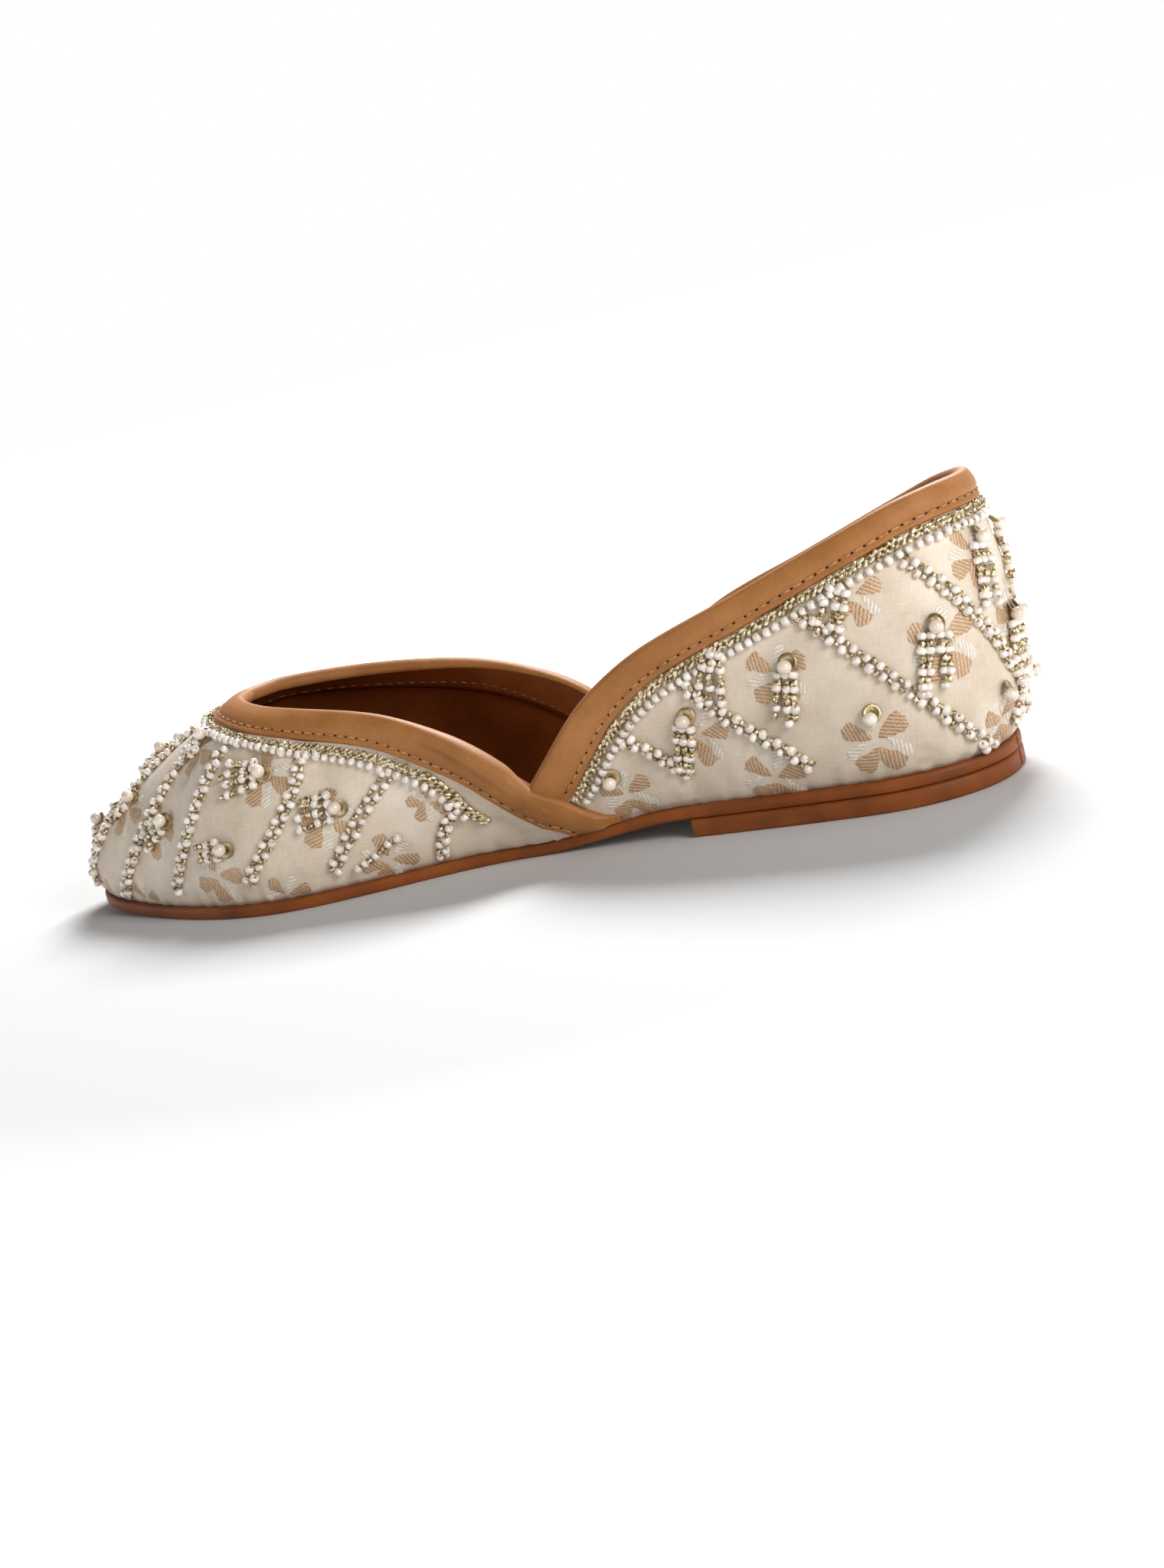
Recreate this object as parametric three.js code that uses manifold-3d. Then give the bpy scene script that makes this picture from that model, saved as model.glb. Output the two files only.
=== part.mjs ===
// A mojari: a flat slip-on of beaded silk brocade, cut low at both sides of the waist.
// Millimetres. +X points to the toe, +Y to the wearer's left, +Z up, and the floor is z = 0.
import * as THREE from 'three';
import { mergeVertices } from 'three/addons/utils/BufferGeometryUtils.js';
import Module from 'manifold-3d';

const wasm = await Module();
wasm.setup();

// Sole
const soleLength = 247.5;
const heelWidth = 51;
const waistWidth = 47;
const ballWidth = 84;
const toeWidth = 60;
const outsoleThickness = 3;
const edgeBevel = 0.4;
const liftHeight = 4.4;
const liftLength = 71.5;
const waistBend = 45;
const toeSpring = 3;
const springLength = 42;

// Upper
const upperWall = 2;
const upperInset = 1;
const backHeight = 59.3;
const crossingHeight = 14.2;
const throatHeight = 45;
const toeHeight = 24;
const crossingAt = 105;
const throatAt = 193.3;
const capLength = 45;
const collarWidth = 63;

// Vamp lapped over the quarter, down to its tail at the sole
const lapThickness = 1.5;
const lapFade = 34;
const lapCutIn = 4;
const tailAt = 90.5;

// Leather strips. The vamp's strip is turned over the lap's edge and pressed into what it lies on.
const bandInside = 8;
const bandLeather = 1;
const tailFold = 1.3;
const tailPressed = 0.4;

// Footbed
const insoleThickness = 2.2;

// Left between pieces that meet
const gap = 0.3;

// How far the vamp's strip runs on past the crossing before it folds over the edge, as a share of
// the way round, and how near the section's ends the lap's edge comes, as a share of its height.
const tailJoin = 0.035;
const lapMargin = 0.03;
// How far the lap's edge sags on its way down to the tail: 1 would be straight
const lapBend = 1.6;
// Half the height of the lap's step, as a share of the section, and half the step for slopes.
const stepHalf = 0.02;
const small = 0.004;

// How many faces the pieces are made of
const counts = {
  quarterSections: 14, lapSections: 5, vampSections: 24, capSections: 9, rows: 4,
  soleSections: 46, liftSections: 18, vampBand: 44, quarterBand: 38, tailBand: 11,
};

// The sole's outline. "at" is a share of its length on the wearer's left and right, and "left" and
// "right" are the half widths there, as shares of the width named. Heel and toe close in round ends.
const outline = [
  { name: 'heel', leftAt: 0.12, rightAt: 0.12, width: heelWidth, left: 0.5, right: 0.5 },
  { name: 'waist', leftAt: 0.455, rightAt: 0.43, width: waistWidth, left: 0.455, right: 0.545 },
  { name: 'ball', leftAt: 0.715, rightAt: 0.67, width: ballWidth, left: 0.508, right: 0.492 },
  { name: 'toe', leftAt: 0.88, rightAt: 0.88, width: toeWidth, left: 0.508, right: 0.492 },
];
const heelEnd = { along: 2.2, across: 2.2 };
const toeEnd = { along: 5, across: 2 };
// How much faster the sides draw in at the toe than on the way there from the ball
const toeTaper = 1.5;

// The edges of the upper. "round" goes from 0 at the heel's back to 1 at the toe's tip, along one side.
const crossingRound = 0.4554;
const throatRound = 0.74;
// The quarter's edge, from the heel's back to the crossing: "along" is a share of the way from the
// back to the crossing, "out" of half the collar's width, "up" of the rise above the crossing.
const quarterEdge = [
  { round: 0, along: -0.005, out: 0, up: 1 },
  { round: 0.09, along: 0.024, out: 0.35, up: 0.996 },
  { round: 0.145, along: 0.089, out: 0.56, up: 0.968 },
  { round: 0.205, along: 0.205, out: 0.74, up: 0.885 },
  { round: 0.295, along: 0.452, out: 0.865, up: 0.69 },
  { round: 0.37, along: 0.686, out: 0.92, up: 0.508 },
  { round: 0.41, along: 0.833, out: 0.95, up: 0.34 },
  { round: crossingRound, along: 1, out: 0.975, up: 0 },
];
// The vamp's edge, from the crossing to the throat, with "along" and "up" as shares of that stretch.
const vampEdge = [
  { round: crossingRound, along: 0, out: 0.975, up: 0 },
  { round: 0.49, along: 0.13, out: 1.02, up: 0.365 },
  { round: 0.52, along: 0.245, out: 1, up: 0.565 },
  { round: 0.56, along: 0.43, out: 0.935, up: 0.77 },
  { round: 0.6, along: 0.605, out: 0.86, up: 0.865 },
  { round: 0.64, along: 0.775, out: 0.73, up: 0.93 },
  { round: 0.675, along: 0.9, out: 0.51, up: 0.975 },
  { round: 0.705, along: 0.97, out: 0.27, up: 1.0 },
  { round: throatRound, along: 1, out: 0, up: 1 },
];
// The crest from the throat to the toe: "along" is a share of the cap's length, "up" runs from 1 at
// the throat to 0 at the toe's height.
const crest = [
  { round: throatRound, along: 0, up: 1 },
  { round: 0.8, along: 0.3, up: 0.74 },
  { round: 0.87, along: 0.62, up: 0.44 },
  { round: 0.94, along: 0.88, up: 0.14 },
  { round: 1, along: 1, up: 0 },
];
// How wide the leather strips are cut for the outside, in millimetres, and the share of it that
// shows, from the open edge to the cut one.
const bandCut = 10;
const bandWidths = [
  { round: 0, share: 0.58 },
  { round: 0.2, share: 0.6 },
  { round: 0.37, share: 0.63 },
  { round: crossingRound, share: 0.84 },
  { round: 0.505, share: 0.82 },
  { round: 0.56, share: 0.68 },
  { round: 0.64, share: 0.75 },
  { round: throatRound, share: 0.78 },
];
// The upper's section: its lean at the sole and its slope at the edge or crest, in degrees from
// upright and from level, with the lengths of their pulls as shares of the section's chord.
const section = [
  { round: 0, lean: 40, foot: 0.25, slope: 76, head: 0.35 },
  { round: 0.2, lean: 34, foot: 0.28, slope: 76, head: 0.35 },
  { round: 0.3, lean: 23, foot: 0.35, slope: 82, head: 0.35 },
  { round: 0.41, lean: 30, foot: 0.35, slope: 95, head: 0.34 },
  { round: crossingRound, lean: 38, foot: 0.34, slope: 103, head: 0.33 },
  { round: 0.5, lean: 34, foot: 0.34, slope: 95, head: 0.33 },
  { round: 0.56, lean: 20, foot: 0.36, slope: 64, head: 0.34 },
  { round: 0.62, lean: 14, foot: 0.38, slope: 38, head: 0.36 },
  { round: 0.68, lean: 12, foot: 0.38, slope: 16, head: 0.4 },
  { round: throatRound, lean: 12, foot: 0.36, slope: 2, head: 0.42 },
  { round: 0.82, lean: 22, foot: 0.36, slope: 0, head: 0.44 },
  { round: 0.92, lean: 38, foot: 0.38, slope: 0, head: 0.42 },
  { round: 1, lean: 46, foot: 0.42, slope: 0, head: 0.4 },
];

const radians = THREE.MathUtils.degToRad;
const clamp = THREE.MathUtils.clamp;
const lerp = THREE.MathUtils.lerp;
const smoothstep = (x, from, to) => THREE.MathUtils.smoothstep(x, from, to);

// Slopes of a smooth curve through points, which never swings past them. "start" and "end" are the
// slopes at its ends, as multiples of the straight slope there, so 0 is level.
function knotSlopes(x, y, start, end) {
  const step = x.slice(1).map((value, i) => (y[i + 1] - y[i]) / (value - x[i]));
  return x.map((value, i) => {
    if (i === 0) return start * step[0];
    if (i === x.length - 1) return end * step[i - 1];
    if (step[i - 1] * step[i] <= 0) return 0;
    const before = x[i] - x[i - 1];
    const after = x[i + 1] - x[i];
    const weightBefore = 2 * after + before;
    const weightAfter = after + 2 * before;
    return (weightBefore + weightAfter) / (weightBefore / step[i - 1] + weightAfter / step[i]);
  });
}

function smoothCurve(x, y, start = 1, end = 1) {
  const slopes = knotSlopes(x, y, start, end);
  return (at) => {
    let i = 0;
    while (i < x.length - 2 && at > x[i + 1]) i += 1;
    const width = x[i + 1] - x[i];
    const t = clamp((at - x[i]) / width, 0, 1);
    const t2 = t * t;
    const t3 = t2 * t;
    return (2 * t3 - 3 * t2 + 1) * y[i] + (t3 - 2 * t2 + t) * width * slopes[i]
      + (3 * t2 - 2 * t3) * y[i + 1] + (t3 - t2) * width * slopes[i + 1];
  };
}

const column = (rows, name, start, end) =>
  smoothCurve(rows.map((row) => row.round), rows.map((row) => row[name]), start, end);

// Height of the sole's underside above the floor, at a distance from the heel's back.
const waistEnd = liftLength + waistBend;
function soleBottom(x) {
  const rise = liftHeight * (1 - smoothstep(x, liftLength, waistEnd));
  const spring = clamp((x - (soleLength - springLength)) / springLength, 0, 1);
  return rise + toeSpring * spring * spring;
}
const soleTop = (x) => soleBottom(x) + outsoleThickness;

// Half the sole's width, to the left or the right. The ends are parts of flattened ellipses, and
// the toe's end goes on tapering as the side before it does.
const roundEnd = (share, end) => Math.max(0, 1 - share ** end.along) ** (1 / end.across);
function sideProfile(side) {
  const at = outline.map((row) => row[`${side}At`] * soleLength);
  const half = outline.map((row) => row.width * row[side]);
  const between = smoothCurve(at, half, 0, toeTaper);
  const [heelStart, , ballStart, toeStart] = at;
  const taper = toeTaper * (half[3] - half[2]) / (toeStart - ballStart);
  return (x) => {
    if (x < heelStart) return half[0] * roundEnd((heelStart - x) / heelStart, heelEnd);
    if (x < toeStart) return between(x);
    return (half[3] + taper * (x - toeStart)) * roundEnd((x - toeStart) / (soleLength - toeStart), toeEnd);
  };
}
const leftHalf = sideProfile('left');
const rightHalf = sideProfile('right');

// A point of the sole's outline; round is negative on the right side.
function outlinePoint(round) {
  const x = (soleLength / 2) * (1 - Math.cos(Math.PI * Math.abs(round)));
  return new THREE.Vector2(x, round < 0 ? -rightHalf(x) : leftHalf(x));
}

// The direction out of the outline, in plan.
const wrap = (round) => (round > 1 ? round - 2 : round < -1 ? round + 2 : round);
function outward(round) {
  const ahead = outlinePoint(wrap(round + small));
  const behind = outlinePoint(wrap(round - small));
  const run = ahead.sub(behind).normalize();
  return new THREE.Vector2(-run.y, run.x);
}

// The same outline drawn in by a distance.
function insetPoint(round, inset) {
  return outlinePoint(round).addScaledVector(outward(round), -inset);
}

const quarterCurves = {
  along: column(quarterEdge, 'along', 0),
  out: column(quarterEdge, 'out'),
  up: column(quarterEdge, 'up', 0),
};
const vampCurves = {
  along: column(vampEdge, 'along', 1, 0),
  out: column(vampEdge, 'out', 1, 0),
  up: column(vampEdge, 'up', 1, 0),
};
const crestCurves = {
  along: column(crest, 'along', 0, 0),
  up: column(crest, 'up', 0, 0),
};
const sectionCurves = {
  lean: column(section, 'lean', 0, 0),
  foot: column(section, 'foot', 0, 0),
  slope: column(section, 'slope', 0, 0),
  head: column(section, 'head', 0, 0),
};

// The upper's own edge above the sole's outline, and its crest ahead of the throat.
function topPoint(round) {
  const turn = Math.abs(round);
  const side = Math.sign(round);
  const base = soleTop(outlinePoint(turn).x);
  const halfCollar = collarWidth / 2;
  if (turn <= crossingRound) {
    const x = crossingAt * quarterCurves.along(turn);
    const up = lerp(crossingHeight, backHeight, quarterCurves.up(turn));
    return new THREE.Vector3(x, side * halfCollar * quarterCurves.out(turn), base + up);
  }
  if (turn <= throatRound) {
    const x = lerp(crossingAt, throatAt, vampCurves.along(turn));
    const up = lerp(crossingHeight, throatHeight, vampCurves.up(turn));
    return new THREE.Vector3(x, side * halfCollar * vampCurves.out(turn), base + up);
  }
  const x = throatAt + capLength * crestCurves.along(turn);
  const up = lerp(toeHeight, throatHeight, crestCurves.up(turn));
  return new THREE.Vector3(x, 0, outsoleThickness + up);
}

// How steeply the crest rises toward the toe, which is negative where it falls.
function crestFall(turn) {
  const middle = clamp(turn, throatRound + 2 * small, 1 - 2 * small);
  const from = topPoint(middle - small);
  const to = topPoint(middle + small);
  return (to.z - from.z) / (to.x - from.x);
}

// The upper's outer face without the lap. "rise" goes from 0 at the sole to 1 at the edge or crest.
const ribCache = new Map();
function rib(round) {
  if (ribCache.has(round)) return ribCache.get(round);
  const turn = Math.abs(round);
  const foot = insetPoint(round, upperInset);
  const start = new THREE.Vector3(foot.x, foot.y, soleTop(foot.x) + gap);
  const end = topPoint(round);
  const chord = start.distanceTo(end);
  const out = outward(round);
  const lean = radians(sectionCurves.lean(turn));
  const slope = radians(sectionCurves.slope(turn));
  const pull = new THREE.Vector3(out.x * Math.sin(lean), out.y * Math.sin(lean), Math.cos(lean));
  const across = new THREE.Vector3(start.x - end.x, start.y - end.y, 0).normalize();
  const blend = smoothstep(turn, throatRound - 0.1, throatRound);
  const level = new THREE.Vector3(out.x, out.y, 0).lerp(across, blend).normalize();
  const fall = blend * crestFall(turn) * level.x;
  const back = new THREE.Vector3(
    level.x * Math.cos(slope), level.y * Math.cos(slope), fall - Math.sin(slope)).normalize();
  const points = [
    start,
    start.clone().addScaledVector(pull, chord * sectionCurves.foot(turn)),
    end.clone().addScaledVector(back, chord * sectionCurves.head(turn)),
    end,
  ];
  const made = new THREE.CubicBezierCurve3(...points);
  ribCache.set(round, made);
  return made;
}
const bare = (round, rise) => rib(round).getPoint(rise);

// The direction out of the upper's face.
function facing(round, rise) {
  const turn = Math.abs(round);
  if (turn >= throatRound && rise > 0.999) return new THREE.Vector3(-crestFall(turn), 0, 1).normalize();
  const below = Math.min(rise, 0.97);
  const behind = bare(wrap(round - small), below);
  const ahead = bare(wrap(round + small), below);
  const low = bare(round, Math.max(below - 0.01, 0));
  const high = bare(round, below + 0.01);
  const normal = high.sub(low).cross(ahead.sub(behind)).normalize();
  if (round === 0 || turn === 1) normal.setY(0).normalize();
  return normal;
}

// The lap: the vamp's layer over the quarter. Its edge comes down from the crossing to the sole.
const turnOf = (x) => Math.acos(1 - (2 * clamp(x, 0, soleLength)) / soleLength) / Math.PI;
const tailRound = turnOf(tailAt);
// Rise of the lap's edge on the section at this turn, from 0 at the tail to 1 at the crossing.
function lapEdge(turn) {
  const share = clamp((turn - tailRound) / (crossingRound - tailRound), 0, 1);
  return lerp(lapMargin, 1 - lapMargin, share ** lapBend);
}
function lapDepth(turn) {
  if (turn < tailRound) return 0;
  const x = outlinePoint(turn).x;
  const comeIn = smoothstep(x, tailAt, tailAt + lapCutIn);
  const goOut = 1 - smoothstep(x, crossingAt, crossingAt + lapFade);
  return lapThickness * comeIn * goOut;
}
function lapAt(turn, rise) {
  if (turn > crossingRound) return lapDepth(turn);
  const edge = lapEdge(turn);
  return lapDepth(turn) * (1 - smoothstep(rise, edge - stepHalf, edge + stepHalf));
}

// A point at a distance out from the upper's face, measured over the lap or from the bare face.
function onFace(round, rise, out, overLap = true) {
  const lap = overLap ? lapAt(Math.abs(round), rise) : 0;
  return bare(round, rise).addScaledVector(facing(round, rise), out + lap);
}

// A closed mesh from faces that list their corners counterclockwise as seen from outside.
function meshFrom(points, quads, material, name) {
  const positions = [];
  for (const quad of quads) {
    const corners = quad.map((corner) => points[corner]);
    const triangles = corners.length === 3 ? [[0, 1, 2]] : [[0, 1, 2], [0, 2, 3]];
    for (const triangle of triangles) {
      for (const corner of triangle) positions.push(corners[corner].x, corners[corner].y, corners[corner].z);
    }
  }
  const soup = new THREE.BufferGeometry();
  soup.setAttribute('position', new THREE.Float32BufferAttribute(positions, 3));
  return tidyMesh(soup, material, name);
}

// Corners that coincide are merged and triangles with no area dropped.
function tidyMesh(geometry, material, name) {
  const merged = mergeVertices(geometry, 1e-4);
  const index = merged.getIndex().array;
  const kept = [];
  for (let i = 0; i < index.length; i += 3) {
    const [a, b, c] = [index[i], index[i + 1], index[i + 2]];
    if (a !== b && b !== c && a !== c) kept.push(a, b, c);
  }
  merged.setIndex(kept);
  const mesh = new THREE.Mesh(merged, material);
  mesh.name = name;
  return mesh;
}

// A closed mesh from loops of points, one loop for each section, joined in turn. Without "ring"
// the first and last loops are closed by flat ends. "joined" says where a face is left out, because
// two sections meet there.
function skin(loops, material, name, ring = false, joined = () => false) {
  const points = loops.flat();
  const around = loops[0].length;
  const quads = [];
  const last = ring ? loops.length : loops.length - 1;
  for (let i = 0; i < last; i += 1) {
    const next = (i + 1) % loops.length;
    for (let j = 0; j < around; j += 1) {
      const beside = (j + 1) % around;
      if (joined(i, next, j)) continue;
      quads.push([i * around + j, i * around + beside, next * around + beside, next * around + j]);
    }
  }
  if (!ring) {
    quads.push(...endFaces(loops[0], 0).map((face) => face.reverse()));
    quads.push(...endFaces(loops[loops.length - 1], (loops.length - 1) * around));
  }
  return meshFrom(points, quads, material, name);
}

// Triangles over the end of a strip, whose loop goes out along one face and back along the other.
function endFaces(loop, first) {
  const faces = [];
  const count = loop.length;
  for (let j = 0; j < count / 2 - 1; j += 1) {
    faces.push([first + j, first + j + 1, first + count - 2 - j, first + count - 1 - j]);
  }
  return faces;
}

function toSolid(mesh) {
  const geometry = mesh.geometry;
  return new wasm.Manifold(new wasm.Mesh({
    numProp: 3,
    vertProperties: new Float32Array(geometry.getAttribute('position').array),
    triVerts: new Uint32Array(geometry.getIndex().array),
  }));
}

function fromSolid(solid, material, name) {
  const made = solid.getMesh();
  const geometry = new THREE.BufferGeometry();
  geometry.setAttribute('position', new THREE.Float32BufferAttribute(made.vertProperties, 3));
  geometry.setIndex([...made.triVerts]);
  const mesh = new THREE.Mesh(geometry, material);
  mesh.name = name;
  return mesh;
}

const leather = (color, roughness) => new THREE.MeshStandardMaterial({ color, roughness, metalness: 0 });
const soleLeather = leather(0x8a4f2a, 0.55);
const liftLeather = leather(0x7a4424, 0.55);
const bindingLeather = leather(0xb07a48, 0.6);
const footbedLeather = leather(0x6b4226, 0.75);
const brocade = new THREE.MeshStandardMaterial({ color: 0xd9cdb8, roughness: 0.6, metalness: 0 });

// Evenly spread turns from one to the other, both included.
const spread = (from, to, steps) => Array.from({ length: steps + 1 }, (_, i) => lerp(from, to, i / steps));

// Turns of the sections on one side, with one on the crossing, the tail and the throat.
const sideTurns = [
  ...spread(0, tailRound, counts.quarterSections).slice(0, -1),
  ...spread(tailRound, crossingRound, counts.lapSections).slice(0, -1),
  ...spread(crossingRound, throatRound, counts.vampSections).slice(0, -1),
  ...spread(throatRound, 1, counts.capSections),
];
const allTurns = [...sideTurns, ...sideTurns.slice(1, -1).reverse().map((turn) => -turn)];

// Rises of a section's rows, half of them below the step of the lap and half above. Away from the
// lap the split moves to the middle of the section.
const splitBefore = 0.12;
const splitAfter = 0.06;
function rowRises(turn) {
  const near = smoothstep(turn, tailRound - splitBefore, tailRound)
    * (1 - smoothstep(turn, crossingRound, crossingRound + splitAfter));
  const split = lerp(0.5, lapEdge(turn), near);
  return [...spread(0, split - stepHalf, counts.rows), ...spread(split + stepHalf, 1, counts.rows)];
}

// The direction along the open edge, found from the edge's points on both sides.
function edgeAlong(round) {
  const fold = (turn) => {
    const past = Math.abs(turn) - throatRound;
    return past > 0 ? Math.sign(turn) * (past - throatRound) : turn;
  };
  return topPoint(fold(round + small)).sub(topPoint(fold(round - small))).normalize();
}

// The upper's wall. Grown on all sides by a gap, it is the form that the leather strips clear.
function makeWall(grow) {
  const loops = allTurns.map((round) => {
    const rises = rowRises(Math.abs(round));
    const outer = rises.map((rise) => onFace(round, rise, grow));
    const inner = rises.map((rise) => onFace(round, rise, -upperWall - grow, false));
    for (const foot of [outer[0], inner[0]]) foot.z = soleTop(foot.x) + gap - grow;
    if (Math.abs(round) <= throatRound) {
      const above = edgeAlong(round).cross(facing(round, 1)).normalize();
      for (const edge of [outer, inner]) edge[edge.length - 1].addScaledVector(above, grow);
    }
    return [...outer, ...inner.reverse()];
  });
  const inCap = (i) => Math.abs(allTurns[i]) > throatRound - small / 2;
  const rows = loops[0].length / 2;
  return skin(loops, brocade, 'upper', true, (i, next, j) => j === rows - 1 && inCap(i) && inCap(next));
}

// Points of the face on a coarse net, from which the nearest point to any other is searched.
const netTurns = spread(0.02, 0.98, 96);
const netRises = spread(0, 1, 24);
const nets = { 1: makeNet(1), '-1': makeNet(-1) };
function makeNet(side) {
  return netTurns.flatMap((turn) => netRises.map((rise) => ({ turn, rise, point: bare(side * turn, rise) })));
}

// Where on the face a point lies: the turn and rise of the nearest point.
function nearestOnFace(target) {
  const side = target.y < 0 ? -1 : 1;
  let best = null;
  let bestDistance = Infinity;
  for (const sample of nets[side]) {
    const distance = sample.point.distanceToSquared(target);
    if (distance < bestDistance) {
      best = sample;
      bestDistance = distance;
    }
  }
  let { turn, rise } = best;
  let turnStep = 0.008;
  let riseStep = 0.03;
  while (turnStep > 1e-5) {
    let moved = false;
    for (const [a, b] of [[1, 0], [-1, 0], [0, 1], [0, -1]]) {
      const nextTurn = clamp(turn + a * turnStep, 0.001, 0.999);
      const nextRise = clamp(rise + b * riseStep, 0, 1);
      const distance = bare(side * nextTurn, nextRise).distanceToSquared(target);
      if (distance < bestDistance) {
        turn = nextTurn;
        rise = nextRise;
        bestDistance = distance;
        moved = true;
      }
    }
    if (!moved) {
      turnStep /= 2;
      riseStep /= 2;
    }
  }
  return { round: side * turn, rise };
}

// Stations evenly spaced along an edge of the face. Each has the edge's point and the direction
// that leads over the face away from the edge.
function stations(edge, count) {
  const path = new THREE.CurvePath();
  for (let i = 0; i < edge.length - 1; i += 1) path.add(new THREE.LineCurve3(edge[i], edge[i + 1]));
  const points = path.getSpacedPoints(count);
  return points.map((point, i) => {
    const before = points[Math.max(i - 1, 0)];
    const after = points[Math.min(i + 1, count)];
    const run = after.clone().sub(before).normalize();
    const place = nearestOnFace(point);
    const out = facing(place.round, place.rise);
    const into = out.clone().cross(run).normalize();
    return { point, into };
  });
}

// The face's points at distances from a station, found step by step over the face.
function walk(station, distances) {
  let here = station.point.clone();
  let gone = 0;
  return distances.map((distance) => {
    const place = nearestOnFace(here);
    const out = facing(place.round, place.rise);
    const ahead = station.into.clone().addScaledVector(out, -out.dot(station.into)).normalize();
    here = here.clone().addScaledVector(ahead, distance - gone);
    const found = distance === 0 ? place : nearestOnFace(here);
    here = distance === 0 ? station.point.clone() : bare(found.round, found.rise);
    gone = distance;
    return { point: here.clone(), out: facing(found.round, found.rise), ...found };
  });
}
function lifted(spot, height) {
  const point = spot.point.clone().addScaledVector(spot.out, height);
  point.z = Math.max(point.z, soleTop(point.x) + gap);
  return point;
}
const lapOver = (spot) => lapAt(Math.abs(spot.round), spot.rise);

// Width of a strip's outside at a spot of its edge.
const shownCurve = column(bandWidths, 'share', 0, 0);
const bandWidth = (spot) => bandCut * shownCurve(Math.abs(spot.round));

// The outside of a strip folded over an open edge: up the outside, over the edge, and down inside.
const bandOut = gap + bandLeather;
function foldedLoop(station, extra) {
  const inside = walk(station, spread(0, bandInside + extra, 3));
  const edge = inside[0];
  const outside = walk(station, spread(0, bandWidth(edge) + extra, 4)).reverse();
  const lap = lapDepth(Math.abs(edge.round));
  const wall = upperWall + lap;
  const centre = lifted(edge, lap - wall / 2);
  const over = spread(0, Math.PI, 5).slice(1, -1).map((angle) => centre.clone()
    .addScaledVector(edge.out, (wall / 2 + bandOut + extra) * Math.cos(angle))
    .addScaledVector(station.into, -(bandOut + extra) * Math.sin(angle)));
  return [
    ...outside.map((spot) => lifted(spot, lapOver(spot) + bandOut + extra)),
    ...over,
    ...inside.map((spot) => lifted(spot, -upperWall - bandOut - extra)),
  ];
}

// The open edges as fine runs of points, from left to right.
const edgeRun = (from, to) => spread(from, to, 80).map((turn) => bare(turn, 1));
const crossed = crossingRound + 0.002;
const vampRun = [...edgeRun(crossed, throatRound), ...edgeRun(-throatRound, -crossed).slice(1)];
const quarterRun = [...edgeRun(-crossingRound, 0), ...edgeRun(0, crossingRound).slice(1)];

const foldedLoops = (run, count, extra) =>
  stations(run, count).map((station) => foldedLoop(station, extra));

// The vamp's strip where it runs on flat over the quarter, from the tail at the sole to the crossing.
function tailLoop(station, extra) {
  const width = reach(station, bandWidth(walk(station, [0])[0]) + extra);
  const onVamp = walk(station, spread(0, width, 4)).reverse();
  const back = { point: station.point, into: station.into.clone().negate() };
  const beyond = walk(back, [0, tailFold + extra])[1];
  const lap = lapDepth(Math.abs(onVamp[onVamp.length - 1].round));
  return [
    ...onVamp.map((spot) => lifted(spot, Math.max(lapOver(spot), lap) + bandOut + extra)),
    lifted(beyond, (lap + bandOut) * 0.8 + extra),
    lifted(beyond, -tailPressed),
    ...onVamp.map((spot) => lifted(spot, -tailPressed)).reverse(),
  ];
}

// How far a walk goes before it comes to the sole, up to a limit.
function reach(station, limit) {
  const steps = spread(0, limit, 22);
  const spots = walk(station, steps);
  const last = spots.findIndex((spot) => spot.rise < 0.02);
  return last < 0 ? limit : Math.max(steps[last], 0.6);
}

const tailRun = (side) => {
  const onQuarter = spread(tailRound + 0.002, crossingRound, 30).slice(0, -1);
  const onRim = spread(crossingRound, crossingRound + tailJoin, 12);
  const rise = (turn) => (turn < crossingRound ? lapEdge(turn) : 1);
  const run = [...onQuarter, ...onRim].map((turn) => bare(side * turn, rise(turn)));
  return side > 0 ? run : run.reverse();
};

const largestBody = (solid) => solid.decompose().sort((a, b) => b.volume() - a.volume())[0];
const clearWall = toSolid(makeWall(gap));

// The outside of the vamp's strip, and that of the quarter's.
function vampForm(extra) {
  const middle = toSolid(skin(foldedLoops(vampRun, counts.vampBand, extra), bindingLeather, 'middle'));
  const tails = [1, -1].map((side) => {
    const loops = stations(tailRun(side), counts.tailBand).map((station) => tailLoop(station, extra));
    return toSolid(skin(loops, bindingLeather, 'tail'));
  });
  return middle.add(tails[0]).add(tails[1]);
}
const quarterForm = () => toSolid(skin(foldedLoops(quarterRun, counts.quarterBand, 0), bindingLeather, 'quarter'));

function makeVampBinding() {
  return fromSolid(largestBody(vampForm(0).subtract(clearWall)), bindingLeather, 'vamp_binding');
}

// The quarter's strip ends where the vamp's begins.
function makeQuarterBinding() {
  const left = quarterForm().subtract(clearWall).subtract(vampForm(gap)).subtract(vampForm(0));
  return fromSolid(largestBody(left), bindingLeather, 'quarter_binding');
}

// A flat piece between two heights, cut to the sole's outline, over a stretch of its length.
function sheet(turns, inset, bottom, top, bevel, material, name) {
  const rings = [
    { inset: inset + bevel, height: (x) => bottom(x) },
    { inset, height: (x) => bottom(x) + bevel },
    { inset, height: (x) => top(x) - bevel },
    { inset: inset + bevel, height: (x) => top(x) },
  ];
  const loops = turns.map((turn) => {
    const rightSide = rings.map((ring) => {
      const point = insetPoint(-turn, ring.inset);
      return new THREE.Vector3(point.x, point.y, ring.height(point.x));
    });
    const leftSide = rings.map((ring) => {
      const point = insetPoint(turn, ring.inset);
      return new THREE.Vector3(point.x, point.y, ring.height(point.x));
    });
    return [...leftSide, ...rightSide.reverse()];
  });
  return skin(loops, material, name);
}

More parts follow.
